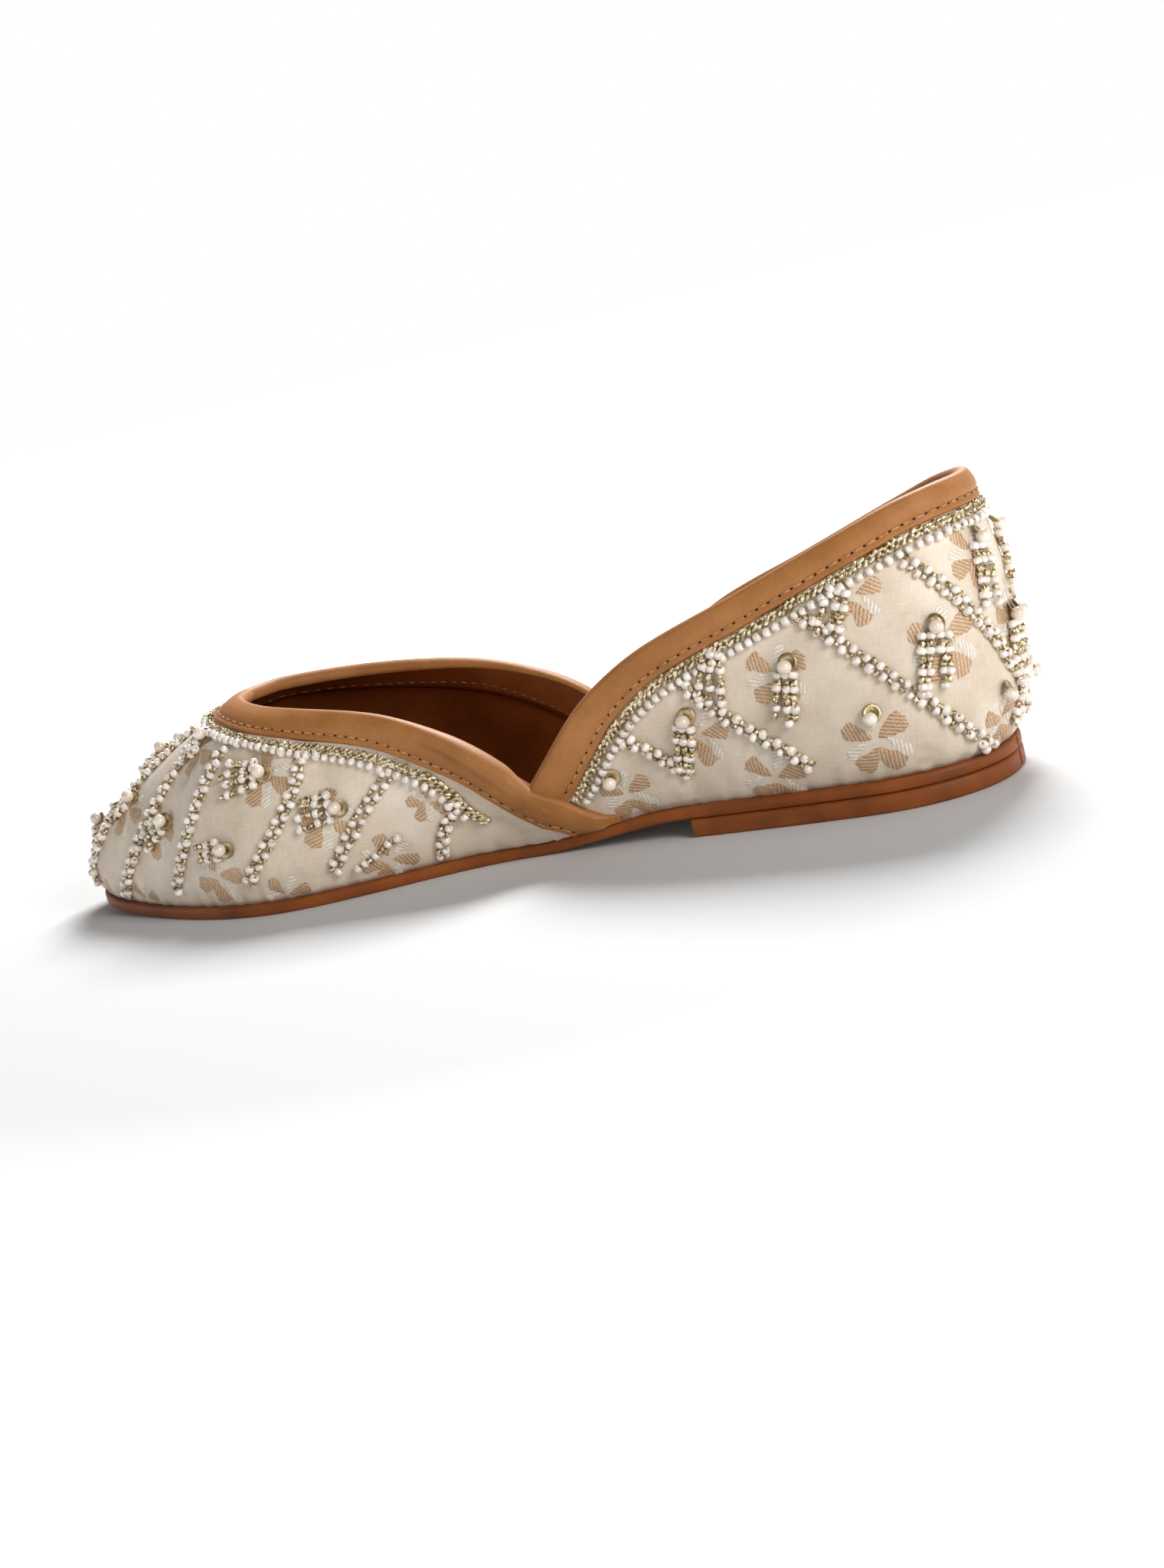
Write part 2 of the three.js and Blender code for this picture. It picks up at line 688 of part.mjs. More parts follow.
// The lift, under the sole's back part and with a straight front.
function makeLift() {
  const end = turnOf(liftLength);
  const turns = [0.012, ...spread(0.04, end, counts.liftSections)];
  const liftTop = () => liftHeight - gap;
  return sheet(turns, 0, () => 0, liftTop, edgeBevel, liftLeather, 'heel_lift');
}

function makeInsole() {
  const inset = upperInset + upperWall + gap * 2;
  const turns = [0.02, ...spread(0.05, 0.95, counts.soleSections), 0.98];
  const bottom = (x) => soleTop(x) + gap;
  return sheet(turns, inset, bottom, (x) => bottom(x) + insoleThickness, edgeBevel, footbedLeather, 'insole');
}

function makeOutsole() {
  const turns = [0.012, ...spread(0.04, 0.96, counts.soleSections), 0.988];
  return sheet(turns, 0, soleBottom, soleTop, edgeBevel, soleLeather, 'outsole');
}

const parts = new THREE.Group();
parts.add(
  makeOutsole(),
  makeLift(),
  makeWall(0),
  makeVampBinding(),
  makeQuarterBinding(),
  makeInsole(),
);

// The origin goes to the floor under the middle of the shoe's own box.
const middle = new THREE.Box3().setFromObject(parts).getCenter(new THREE.Vector3());
parts.position.set(-middle.x, -middle.y, 0);
export default parts;
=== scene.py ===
# %% [markdown]
# A mojari is a flat slip-on shoe. This one has a leather sole, an upper of ivory silk brocade that
# is sewn with pearls and glass beads, and strips of tan leather folded over its edges.
# The shoe's solids come in as a fixed frame. The script dresses them: it repeats the form of the
# upper as functions, makes smooth cloth and leather from them, and sews the beads on that cloth.

# %% Load the frame
import math
import bpy
import numpy as np
from mathutils import Matrix, Vector
from mathutils.bvhtree import BVHTree


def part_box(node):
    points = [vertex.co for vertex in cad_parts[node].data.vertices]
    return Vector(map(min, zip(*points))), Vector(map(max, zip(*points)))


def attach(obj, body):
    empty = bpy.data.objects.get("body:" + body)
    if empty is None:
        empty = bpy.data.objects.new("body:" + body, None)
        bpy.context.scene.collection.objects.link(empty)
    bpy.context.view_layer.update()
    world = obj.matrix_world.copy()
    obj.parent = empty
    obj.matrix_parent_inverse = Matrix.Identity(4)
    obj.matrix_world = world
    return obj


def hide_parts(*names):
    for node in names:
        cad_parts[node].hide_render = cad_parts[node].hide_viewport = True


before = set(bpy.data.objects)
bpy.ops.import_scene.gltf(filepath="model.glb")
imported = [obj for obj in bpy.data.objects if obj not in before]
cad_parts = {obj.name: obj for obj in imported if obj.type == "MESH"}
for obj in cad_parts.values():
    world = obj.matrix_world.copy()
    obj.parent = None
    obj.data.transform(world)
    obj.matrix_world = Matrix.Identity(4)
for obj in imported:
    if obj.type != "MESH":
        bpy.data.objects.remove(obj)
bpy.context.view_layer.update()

mm = 0.001
print("nodes:", ", ".join(sorted(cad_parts)))

# %% [markdown]
# The last is the wooden foot that a shoemaker stretches the upper over. Its sizes are in
# millimetres, measured from the back of the sole. The tables hold shares of those sizes. "round"
# goes along one side of the shoe, from 0 at the heel's back to 1 at the toe's tip.

# %% Sizes of the last
SOLE_LENGTH = 247.5
HEEL_WIDTH = 51
WAIST_WIDTH = 47
BALL_WIDTH = 84
TOE_WIDTH = 60
SOLE_THICKNESS = 3
LIFT_HEIGHT = 4.4
LIFT_LENGTH = 71.5
WAIST_BEND = 45
TOE_SPRING = 3
SPRING_LENGTH = 42
WALL = 2
UPPER_INSET = 1
BACK_HEIGHT = 59.3
CROSSING_HEIGHT = 14.2
THROAT_HEIGHT = 45
TOE_HEIGHT = 24
CROSSING_AT = 105
THROAT_AT = 193.3
CAP_LENGTH = 45
COLLAR_WIDTH = 63
LAP_THICKNESS = 1.5
LAP_FADE = 34
LAP_CUT_IN = 4
TAIL_AT = 90.5
CROSSING_ROUND = 0.4554
THROAT_ROUND = 0.74

OUTLINE = {
    "left_at": (0.12, 0.455, 0.715, 0.88),
    "right_at": (0.12, 0.43, 0.67, 0.88),
    "width": (HEEL_WIDTH, WAIST_WIDTH, BALL_WIDTH, TOE_WIDTH),
    "left": (0.5, 0.455, 0.508, 0.508),
    "right": (0.5, 0.545, 0.492, 0.492),
}
HEEL_END = (2.2, 2.2)
TOE_END = (5, 2)
TOE_TAPER = 1.5
QUARTER_EDGE = {
    "round": (0, 0.09, 0.145, 0.205, 0.295, 0.37, 0.41, CROSSING_ROUND),
    "along": (-0.005, 0.024, 0.089, 0.205, 0.452, 0.686, 0.833, 1),
    "out": (0, 0.35, 0.56, 0.74, 0.865, 0.92, 0.95, 0.975),
    "up": (1, 0.996, 0.968, 0.885, 0.69, 0.508, 0.34, 0),
}
VAMP_EDGE = {
    "round": (CROSSING_ROUND, 0.49, 0.52, 0.56, 0.6, 0.64, 0.675, 0.705, THROAT_ROUND),
    "along": (0, 0.13, 0.245, 0.43, 0.605, 0.775, 0.9, 0.97, 1),
    "out": (0.975, 1.02, 1, 0.935, 0.86, 0.73, 0.51, 0.27, 0),
    "up": (0, 0.365, 0.565, 0.77, 0.865, 0.93, 0.975, 1, 1),
}
CREST = {
    "round": (THROAT_ROUND, 0.8, 0.87, 0.94, 1),
    "along": (0, 0.3, 0.62, 0.88, 1),
    "up": (1, 0.74, 0.44, 0.14, 0),
}
SECTION = {
    "round": (0, 0.2, 0.3, 0.41, CROSSING_ROUND, 0.5, 0.56, 0.62, 0.68, THROAT_ROUND, 0.82, 0.92, 1),
    "lean": (40, 34, 23, 30, 38, 34, 20, 14, 12, 12, 22, 38, 46),
    "foot": (0.25, 0.28, 0.35, 0.35, 0.34, 0.34, 0.36, 0.38, 0.38, 0.36, 0.36, 0.38, 0.42),
    "slope": (76, 76, 82, 95, 103, 95, 64, 38, 16, 2, 0, 0, 0),
    "head": (0.35, 0.35, 0.35, 0.34, 0.33, 0.33, 0.34, 0.36, 0.4, 0.42, 0.44, 0.42, 0.4),
}


def smoothstep(x, low, high):
    """0 below low, 1 above high, and a soft step between them."""
    t = np.clip((x - low) / (high - low), 0, 1)
    return t * t * (3 - 2 * t)


def smooth_curve(x, y, start=1, end=1):
    """A curve through points that never swings past them. start and end scale its end slopes."""
    x, y = np.array(x, float), np.array(y, float)
    width = np.diff(x)
    step = np.diff(y) / width
    before = 2 * width[1:] + width[:-1]
    after = width[1:] + 2 * width[:-1]
    slope = np.zeros(len(x))
    for i in range(1, len(x) - 1):
        if step[i - 1] * step[i] > 0:
            weights = before[i - 1] / step[i - 1] + after[i - 1] / step[i]
            slope[i] = (before[i - 1] + after[i - 1]) / weights
    slope[0] = start * step[0]
    slope[-1] = end * step[-1]

    def curve(at):
        i = np.clip(np.searchsorted(x, at, side="right") - 1, 0, len(x) - 2)
        t = np.clip((at - x[i]) / width[i], 0, 1)
        rise = (3 - 2 * t) * t * t
        pull = (t**3 - 2 * t * t + t) * slope[i] + (t**3 - t * t) * slope[i + 1]
        return y[i] + rise * (y[i + 1] - y[i]) + pull * width[i]

    return curve


def column(table, name, start=1, end=1):
    return smooth_curve(table["round"], table[name], start, end)


# %% The sole's outline
def sole_bottom(x):
    """Height of the sole's underside above the floor."""
    rise = LIFT_HEIGHT * (1 - smoothstep(x, LIFT_LENGTH, LIFT_LENGTH + WAIST_BEND))
    spring = np.clip((x - (SOLE_LENGTH - SPRING_LENGTH)) / SPRING_LENGTH, 0, 1)
    return rise + TOE_SPRING * spring * spring


def sole_top(x):
    return sole_bottom(x) + SOLE_THICKNESS


def round_end(share, form):
    """Half width of a flattened ellipse's end, as a share, where share is the way out along it."""
    along, across = form
    return np.maximum(0, 1 - np.clip(share, 0, 1) ** along) ** (1 / across)


def half_width(x, side):
    at = np.array(OUTLINE[side + "_at"]) * SOLE_LENGTH
    half = np.array(OUTLINE["width"]) * np.array(OUTLINE[side])
    between = smooth_curve(at, half, 0, TOE_TAPER)(x)
    taper = TOE_TAPER * (half[3] - half[2]) / (at[3] - at[2])
    toe = (half[3] + taper * (x - at[3])) * round_end((x - at[3]) / (SOLE_LENGTH - at[3]), TOE_END)
    heel = half[0] * round_end((at[0] - x) / at[0], HEEL_END)
    return np.where(x < at[0], heel, np.where(x < at[3], between, toe))


def outline_point(turn):
    """A point of the outline. turn goes from 0 at the heel to 1 at the toe, and is negative on the right."""
    x = SOLE_LENGTH / 2 * (1 - np.cos(np.pi * np.abs(turn)))
    y = np.where(turn < 0, -half_width(x, "right"), half_width(x, "left"))
    return np.stack([x, y], -1)


def unit(vectors):
    return vectors / np.maximum(np.linalg.norm(vectors, axis=-1, keepdims=True), 1e-9)


def wrap(turn):
    return (turn + 1) % 2 - 1


SMALL = 0.004


def outward(turn):
    """The direction out of the outline, in plan."""
    run = unit(outline_point(wrap(turn + SMALL)) - outline_point(wrap(turn - SMALL)))
    return np.stack([-run[..., 1], run[..., 0]], -1)


def inset_point(turn, inset):
    return outline_point(turn) - outward(turn) * inset


# %% The upper's edge and its face
QUARTER = {name: column(QUARTER_EDGE, name, 1 if name == "out" else 0) for name in ("along", "out", "up")}
VAMP = {name: column(VAMP_EDGE, name, 1, 0) for name in ("along", "out", "up")}
RIDGE = {name: column(CREST, name, 0, 0) for name in ("along", "up")}
SECTIONS = {name: column(SECTION, name, 0, 0) for name in ("lean", "foot", "slope", "head")}


def mix(low, high, share):
    return low + (high - low) * share


def top_point(turn):
    """The upper's edge, and ahead of the throat its crest."""
    a, side = np.abs(turn), np.sign(turn)
    base = sole_top(outline_point(a)[..., 0])
    quarter = np.stack([
        CROSSING_AT * QUARTER["along"](a),
        side * COLLAR_WIDTH / 2 * QUARTER["out"](a),
        base + mix(CROSSING_HEIGHT, BACK_HEIGHT, QUARTER["up"](a)),
    ], -1)
    vamp = np.stack([
        mix(CROSSING_AT, THROAT_AT, VAMP["along"](a)),
        side * COLLAR_WIDTH / 2 * VAMP["out"](a),
        base + mix(CROSSING_HEIGHT, THROAT_HEIGHT, VAMP["up"](a)),
    ], -1)
    crest = np.stack([
        THROAT_AT + CAP_LENGTH * RIDGE["along"](a),
        np.zeros_like(a),
        SOLE_THICKNESS + mix(TOE_HEIGHT, THROAT_HEIGHT, RIDGE["up"](a)),
    ], -1)
    a = a[..., None]
    return np.where(a <= CROSSING_ROUND, quarter, np.where(a <= THROAT_ROUND, vamp, crest))


def crest_fall(turn):
    middle = np.clip(np.abs(turn), THROAT_ROUND + 2 * SMALL, 1 - 2 * SMALL)
    run = top_point(middle + SMALL) - top_point(middle - SMALL)
    return run[..., 2] / run[..., 0]


def bare(turn, rise):
    """A point of the outer face. rise goes from 0 at the sole to 1 at the edge or crest."""
    turn, rise = np.broadcast_arrays(np.asarray(turn, float), np.asarray(rise, float))
    a = np.abs(turn)
    foot = inset_point(turn, UPPER_INSET)
    start = np.concatenate([foot, sole_top(foot[..., :1]) + 0.3], -1)
    end = top_point(turn)
    chord = np.linalg.norm(end - start, axis=-1)[..., None]
    out = outward(turn)
    lean = np.radians(SECTIONS["lean"](a))[..., None]
    slope = np.radians(SECTIONS["slope"](a))[..., None]
    pull = np.concatenate([out * np.sin(lean), np.cos(lean)], -1)
    blend = smoothstep(a, THROAT_ROUND - 0.1, THROAT_ROUND)[..., None]
    level = unit(mix(out, unit((start - end)[..., :2]), blend))
    fall = blend[..., 0] * crest_fall(turn) * level[..., 0]
    back = unit(np.concatenate([level * np.cos(slope), fall[..., None] - np.sin(slope)], -1))
    low = start + pull * chord * SECTIONS["foot"](a)[..., None]
    high = end + back * chord * SECTIONS["head"](a)[..., None]
    t = rise[..., None]
    return (1 - t)**3 * start + 3 * (1 - t)**2 * t * low + 3 * (1 - t) * t * t * high + t**3 * end


def facing(turn, rise):
    """The direction out of the face."""
    turn, rise = np.broadcast_arrays(np.asarray(turn, float), np.asarray(rise, float))
    below = np.minimum(rise, 0.97)
    up = bare(turn, below + 0.01) - bare(turn, np.maximum(below - 0.01, 0))
    run = bare(wrap(turn + SMALL), below) - bare(wrap(turn - SMALL), below)
    normal = unit(np.cross(up, run))
    middle = (turn == 0) | (np.abs(turn) == 1)
    normal[..., 1] = np.where(middle, 0, normal[..., 1])
    fall = crest_fall(turn)
    crest = unit(np.stack([-fall, np.zeros_like(fall), np.ones_like(fall)], -1))
    on_crest = (np.abs(turn) >= THROAT_ROUND) & (rise > 0.999)
    return np.where(on_crest[..., None], crest, unit(normal))


# %% The lap of the vamp over the quarter
def turn_at(x):
    return math.acos(1 - 2 * x / SOLE_LENGTH) / math.pi


TAIL_ROUND = turn_at(TAIL_AT)
LAP_MARGIN = 0.03
STEP_HALF = 0.02
LAP_BEND = 1.6


def lap_edge(turn):
    """Rise of the lap's edge, from the tail at the sole to the crossing."""
    share = np.clip((np.abs(turn) - TAIL_ROUND) / (CROSSING_ROUND - TAIL_ROUND), 0, 1)
    return mix(LAP_MARGIN, 1 - LAP_MARGIN, share**LAP_BEND)


def lap_at(turn, rise):
    a = np.abs(turn)
    x = outline_point(a)[..., 0]
    depth = smoothstep(x, TAIL_AT, TAIL_AT + LAP_CUT_IN)
    depth = LAP_THICKNESS * depth * (1 - smoothstep(x, CROSSING_AT, CROSSING_AT + LAP_FADE))
    edge = lap_edge(turn)
    under = 1 - smoothstep(rise, edge - STEP_HALF, edge + STEP_HALF)
    return depth * np.where(a > CROSSING_ROUND, 1, under)


def on_face(turn, rise, out=0.0):
    """A point at a distance out from the face with its lap."""
    turn, rise = np.broadcast_arrays(np.asarray(turn, float), np.asarray(rise, float))
    lift = np.asarray(out) + lap_at(turn, rise)
    return bare(turn, rise) + facing(turn, rise) * lift[..., None]


# %% Bring the last into the frame
sole_low, sole_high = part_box("outsole")
ball_half = BALL_WIDTH * np.array([OUTLINE["left"][2], OUTLINE["right"][2]])
sole_middle = np.array([SOLE_LENGTH / 2, (ball_half[0] - ball_half[1]) / 2, 0])
frame_middle = np.array([(sole_low[0] + sole_high[0]) / 2, (sole_low[1] + sole_high[1]) / 2, 0])


def placed(points):
    """Millimetres on the last to metres in the frame."""
    return (np.asarray(points) - sole_middle) * mm + frame_middle


print("the last's heel is at x =", round(float(placed([0, 0, 0])[0]), 4), "m")

# %% [markdown]
# Colours are picked as sRGB hex, as on a screen, but the shader works in linear light, so one
# function turns them. A second small function adds a node with its settings and links, which keeps
# each material short enough to read.

# %% Helpers for materials
def linear(hex_colour):
    parts = [int(hex_colour[i:i + 2], 16) / 255 for i in (1, 3, 5)]
    return [c / 12.92 if c <= 0.04045 else ((c + 0.055) / 1.055) ** 2.4 for c in parts] + [1]


def node(tree, kind, inputs=None, **settings):
    """Adds a node. inputs maps a socket's name or number to a value or to another node's output."""
    made = tree.nodes.new(kind)
    for name, value in settings.items():
        setattr(made, name, value)
    for name, value in (inputs or {}).items():
        if isinstance(value, bpy.types.NodeSocket):
            tree.links.new(value, made.inputs[name])
        else:
            made.inputs[name].default_value = value
    return made


def new_material(name, **shader_values):
    material = bpy.data.materials.new(name)
    material.use_nodes = True
    shader = material.node_tree.nodes["Principled BSDF"]
    for socket, value in shader_values.items():
        shader.inputs[socket.replace("_", " ")].default_value = value
    return material, material.node_tree, shader


def colour_steps(tree, factor, *steps):
    """A ramp through colours, each step a place from 0 to 1 and a hex colour."""
    ramp = node(tree, "ShaderNodeValToRGB", {0: factor})
    elements = ramp.color_ramp.elements
    for element, (place, colour) in zip(elements, (steps[0], steps[-1])):
        element.position = place
        element.color = linear(colour)
    for place, colour in steps[1:-1]:
        elements.new(place).color = linear(colour)
    return ramp.outputs["Color"]


def bump(tree, height, distance, strength=1.0, under=None):
    """Turns a height pattern into relief of a depth in millimetres, over another relief."""
    inputs = {"Height": height, "Distance": distance * mm, "Strength": strength}
    if under is not None:
        inputs["Normal"] = under
    return node(tree, "ShaderNodeBump", inputs).outputs["Normal"]


def noise(tree, vector, size, detail=3.0, roughness=0.5):
    """Noise with blotches of a size in millimetres."""
    inputs = {"Vector": vector, "Scale": 1 / (size * mm), "Detail": detail, "Roughness": roughness}
    return node(tree, "ShaderNodeTexNoise", inputs).outputs[0]


# %% [markdown]
# Silk brocade is satin: most of the warp lies on top as long, smooth threads, so it shines softly
# along one direction, with a fine line for each thread. Threads lie about 0.2 mm apart. That is
# finer than a pixel in the render, so they are drawn at 0.4 mm, as two noises drawn out along the
# cloth and up it. The cloth has its own map in metres, so the threads follow it round the shoe.

# %% Ivory silk satin
def make_silk():
    material, tree, shader = new_material("ivory silk satin, woven", Roughness=0.42, Sheen_Weight=0.15)
    cloth = node(tree, "ShaderNodeUVMap", uv_map="cloth").outputs["UV"]
    crosswise = node(tree, "ShaderNodeMapping", {"Vector": cloth, "Scale": (0.12, 1, 1)}).outputs[0]
    upright = node(tree, "ShaderNodeMapping", {"Vector": cloth, "Scale": (1, 0.12, 1)}).outputs[0]
    weft = noise(tree, crosswise, 0.45, 1.0)
    warp = noise(tree, upright, 0.4, 1.0)
    weave = node(tree, "ShaderNodeMix", {0: 0.5, 2: weft, 3: warp}).outputs[0]
    cloud = noise(tree, cloth, 14)
    tone = node(tree, "ShaderNodeMix", {0: 0.4, 2: cloud, 3: weave}).outputs[0]
    colour = colour_steps(tree, tone, (0.3, "#c3b09a"), (0.5, "#d6c6b1"), (0.7, "#e4d7c5"))
    relief = bump(tree, weave, 0.05, 0.7)
    puckers = bump(tree, noise(tree, cloth, 7, 1.0), 0.5, 0.3, relief)
    tree.links.new(colour, shader.inputs["Base Color"])
    tree.links.new(puckers, shader.inputs["Normal"])
    return material


silk = make_silk()


# %% [markdown]
# The strips are calf leather, dyed tan right through and finished with a thin satin coat. It shows
# fine pores and soft clouds of colour, some darker, at random.

# %% Leathers
def make_leather(name, dark, middle, light, roughness, pore=0.35, depth=0.06, cloud=9):
    material, tree, shader = new_material(name, Roughness=roughness, Specular_IOR_Level=0.3)
    place = node(tree, "ShaderNodeTexCoord").outputs["Object"]
    tone = noise(tree, place, cloud, 4.0)
    fine = noise(tree, place, 0.9, 2.0)
    both = node(tree, "ShaderNodeMix", {0: 0.25, 2: tone, 3: fine}).outputs[0]
    colour = colour_steps(tree, both, (0.3, dark), (0.5, middle), (0.7, light))
    pores = node(tree, "ShaderNodeTexVoronoi", {"Vector": place, "Scale": 1 / (pore * mm)}).outputs[0]
    relief = bump(tree, pores, depth, 0.5)
    waves = bump(tree, noise(tree, place, 5, 1.0), 0.25, 0.25, relief)
    tree.links.new(colour, shader.inputs["Base Color"])
    tree.links.new(waves, shader.inputs["Normal"])
    return material


tan_calf = make_leather("tan calf leather, drum dyed", "#95602f", "#a26b39", "#ad7642", 0.52)
lining_calf = make_leather("brown lining leather, rubbed", "#65300c", "#743a10", "#834615", 0.6, cloud=14)
sole_hide = make_leather("sole hide, bark tanned and burnished", "#663410", "#7b4217", "#8f5222", 0.5,
                         pore=0.6, depth=0.1)


# %% [markdown]
# A layered edge: sole hide is cut through, and its cut edge shows fine layers along it, rubbed
# smooth with wax. The flat faces above and below are the plain sole hide.

# %% Cut edge of the sole
def make_cut_edge():
    material, tree, shader = new_material("sole hide, cut edge waxed", Roughness=0.5, Specular_IOR_Level=0.3)
    place = node(tree, "ShaderNodeTexCoord").outputs["Object"]
    layers = node(tree, "ShaderNodeMapping", {"Vector": place, "Scale": (0.02, 0.02, 1)}).outputs[0]
    lines = noise(tree, layers, 0.35, 2.0)
    tone = noise(tree, place, 12, 4.0)
    both = node(tree, "ShaderNodeMix", {0: 0.2, 2: tone, 3: lines}).outputs[0]
    colour = colour_steps(tree, both, (0.3, "#6e370f"), (0.5, "#824212"), (0.7, "#93501a"))
    relief = bump(tree, lines, 0.05, 0.4)
    tree.links.new(colour, shader.inputs["Base Color"])
    tree.links.new(relief, shader.inputs["Normal"])
    return material


sole_edge = make_cut_edge()


# %% [markdown]
# The white beads are opaque glass with a pearl lustre. The gold ones are clear glass tubes lined
# with silver. The bright streak and dark olive side that each shows are painted into its colour, as a
# painted highlight and painted shade over a tone that differs from bead to bead. The pearls are
# creamier and larger, and each sits on a champagne sequin.

# %% Beads, pearls, sequins and threads
def make_plain(name, dark, light, spot, **shader_values):
    """A smooth material whose tone changes a little from bead to bead or along a thread, or, for the gold beads,
    from painted shade to a painted highlight.
    """
    material, tree, shader = new_material(name, **shader_values)
    place = node(tree, "ShaderNodeTexCoord").outputs["Object"]
    tone = noise(tree, place, spot, 1.0)
    colour = colour_steps(tree, tone, (0.38, dark), (0.62, light))
    tree.links.new(colour, shader.inputs["Base Color"])
    return material


pearl_glass = make_plain("white glass seed bead, pearl lustre", "#dccfc0", "#f7eee5", 1.6,
                         Roughness=0.14, Coat_Weight=1.0, Coat_Roughness=0.05)
# The gold ramp runs from painted shade to a painted highlight, in spots about a bead across.
gold_glass_painted_glints_and_shade = make_plain("clear glass bead, silver lined, painted glints and shade", "#866a3c", "#f3e4c2", 0.9,
                        Roughness=0.16, Metallic=0.55)
cream_pearl = make_plain("cream pearl, nacre", "#dccab5", "#f0e3d3", 4,
                         Roughness=0.18, Coat_Weight=1.0, Coat_Roughness=0.06)
sequin_film = make_plain("champagne sequin, plated film", "#8a7653", "#bba57c", 2,
                         Roughness=0.24, Metallic=0.7)
tan_thread = make_plain("waxed thread, tan", "#9a693b", "#c18d5a", 1, Roughness=0.6)
# The stitches inside are the same thread as the tan ones outside, drawn darker: painted shade inside the shoe.
thread_inside_painted_shade = make_plain("waxed thread inside, painted shade", "#6b3d1c", "#8f5d34", 1, Roughness=0.7)
# A needle hole is drawn as a small dark ball on the leather: painted shade for the hole.
needle_hole_painted_shade = make_plain("needle hole, painted shade", "#24120a", "#38200f", 1, Roughness=0.9)


# %% [markdown]
# The woven flowers are brocaded: extra threads of rose-gold zari and of white silk float over the
# satin in each petal. Each petal is a thin patch of slanting threads here.

# %% Brocading threads
def make_floats(name, dark, light, **shader_values):
    material, tree, shader = new_material(name, **shader_values)
    petal = node(tree, "ShaderNodeUVMap", uv_map="petal").outputs["UV"]
    threads = node(tree, "ShaderNodeTexWave", {
        "Vector": petal, "Scale": 0.314 / (0.6 * mm), "Distortion": 4, "Detail": 3.0, "Detail Scale": 2.5,
    }, bands_direction="DIAGONAL").outputs[0]
    flecks = noise(tree, petal, 0.7)
    both = node(tree, "ShaderNodeMix", {0: 0.35, 2: threads, 3: flecks}).outputs[0]
    colour = colour_steps(tree, both, (0.35, dark), (0.8, light))
    tree.links.new(colour, shader.inputs["Base Color"])
    tree.links.new(bump(tree, threads, 0.12, 0.8), shader.inputs["Normal"])
    return material


rose_zari = make_floats("rose-gold zari thread, floated", "#b28e6b", "#d2b697", Roughness=0.42, Metallic=0.2)
white_float = make_floats("white silk thread, floated", "#cfc1ae", "#ebe3d6", Roughness=0.4, Sheen_Weight=0.3)
print("materials:", len(bpy.data.materials))

# %% [markdown]
# A surface made of sections is a grid of points: one row for each place round the shoe, one column
# for each height. The helper below turns such a grid into a mesh and can close it round, and a map
# in metres can be given for it.

# %% Helpers for meshes
def finished(name, points, faces, materials, which=None, smooth=True):
    """A mesh object at the origin from points in the frame. which gives each face its material."""
    mesh = bpy.data.meshes.new(name)
    mesh.from_pydata(points.tolist(), [], faces)
    for material in materials:
        mesh.materials.append(material)
    if which is not None:
        mesh.polygons.foreach_set("material_index", which)
    mesh.polygons.foreach_set("use_smooth", [smooth] * len(mesh.polygons))
    mesh.update()
    made = bpy.data.objects.new(name, mesh)
    bpy.context.scene.collection.objects.link(made)
    return made


def grid_faces(rows, columns, closed_rows=False, closed_columns=False):
    """Faces of a grid whose points are stored row after row."""
    faces = []
    for i in range(rows if closed_rows else rows - 1):
        for j in range(columns if closed_columns else columns - 1):
            a, b = i, (i + 1) % rows
            c, d = j, (j + 1) % columns
            faces.append((a * columns + c, a * columns + d, b * columns + d, b * columns + c))
    return faces


def set_map(made, name, values):
    """A UV map from one pair of metres for each point."""
    layer = made.data.uv_layers.new(name=name)
    corners = np.empty(len(made.data.loops), int)
    made.data.loops.foreach_get("vertex_index", corners)
    layer.data.foreach_set("uv", values[corners].ravel())


def weld(made, distance=1e-6):
    """Merges points that coincide and turns the faces outwards."""
    import bmesh
    work = bmesh.new()
    work.from_mesh(made.data)
    bmesh.ops.remove_doubles(work, verts=work.verts, dist=distance)
    bmesh.ops.recalc_face_normals(work, faces=work.faces)
    work.to_mesh(made.data)
    work.free()


def hand_over(made, slot, *nodes):
    """Sets a finished piece on the root body and hides the solids that it stands for; slot, its finish, is not
    used.
    """
    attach(made, "root")
    if nodes:
        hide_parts(*nodes)
    print(made.name, len(made.data.polygons), "faces")


# %% [markdown]
# Sole, heel lift and footbed are slabs cut to one outline. Each is a stack of rings: the edge is
# slightly rounded, and the fine outline keeps the toe and heel free of corners.

# %% Sole, heel lift and footbed
EDGE_ROUND = 0.8
CLEAR = 0.3


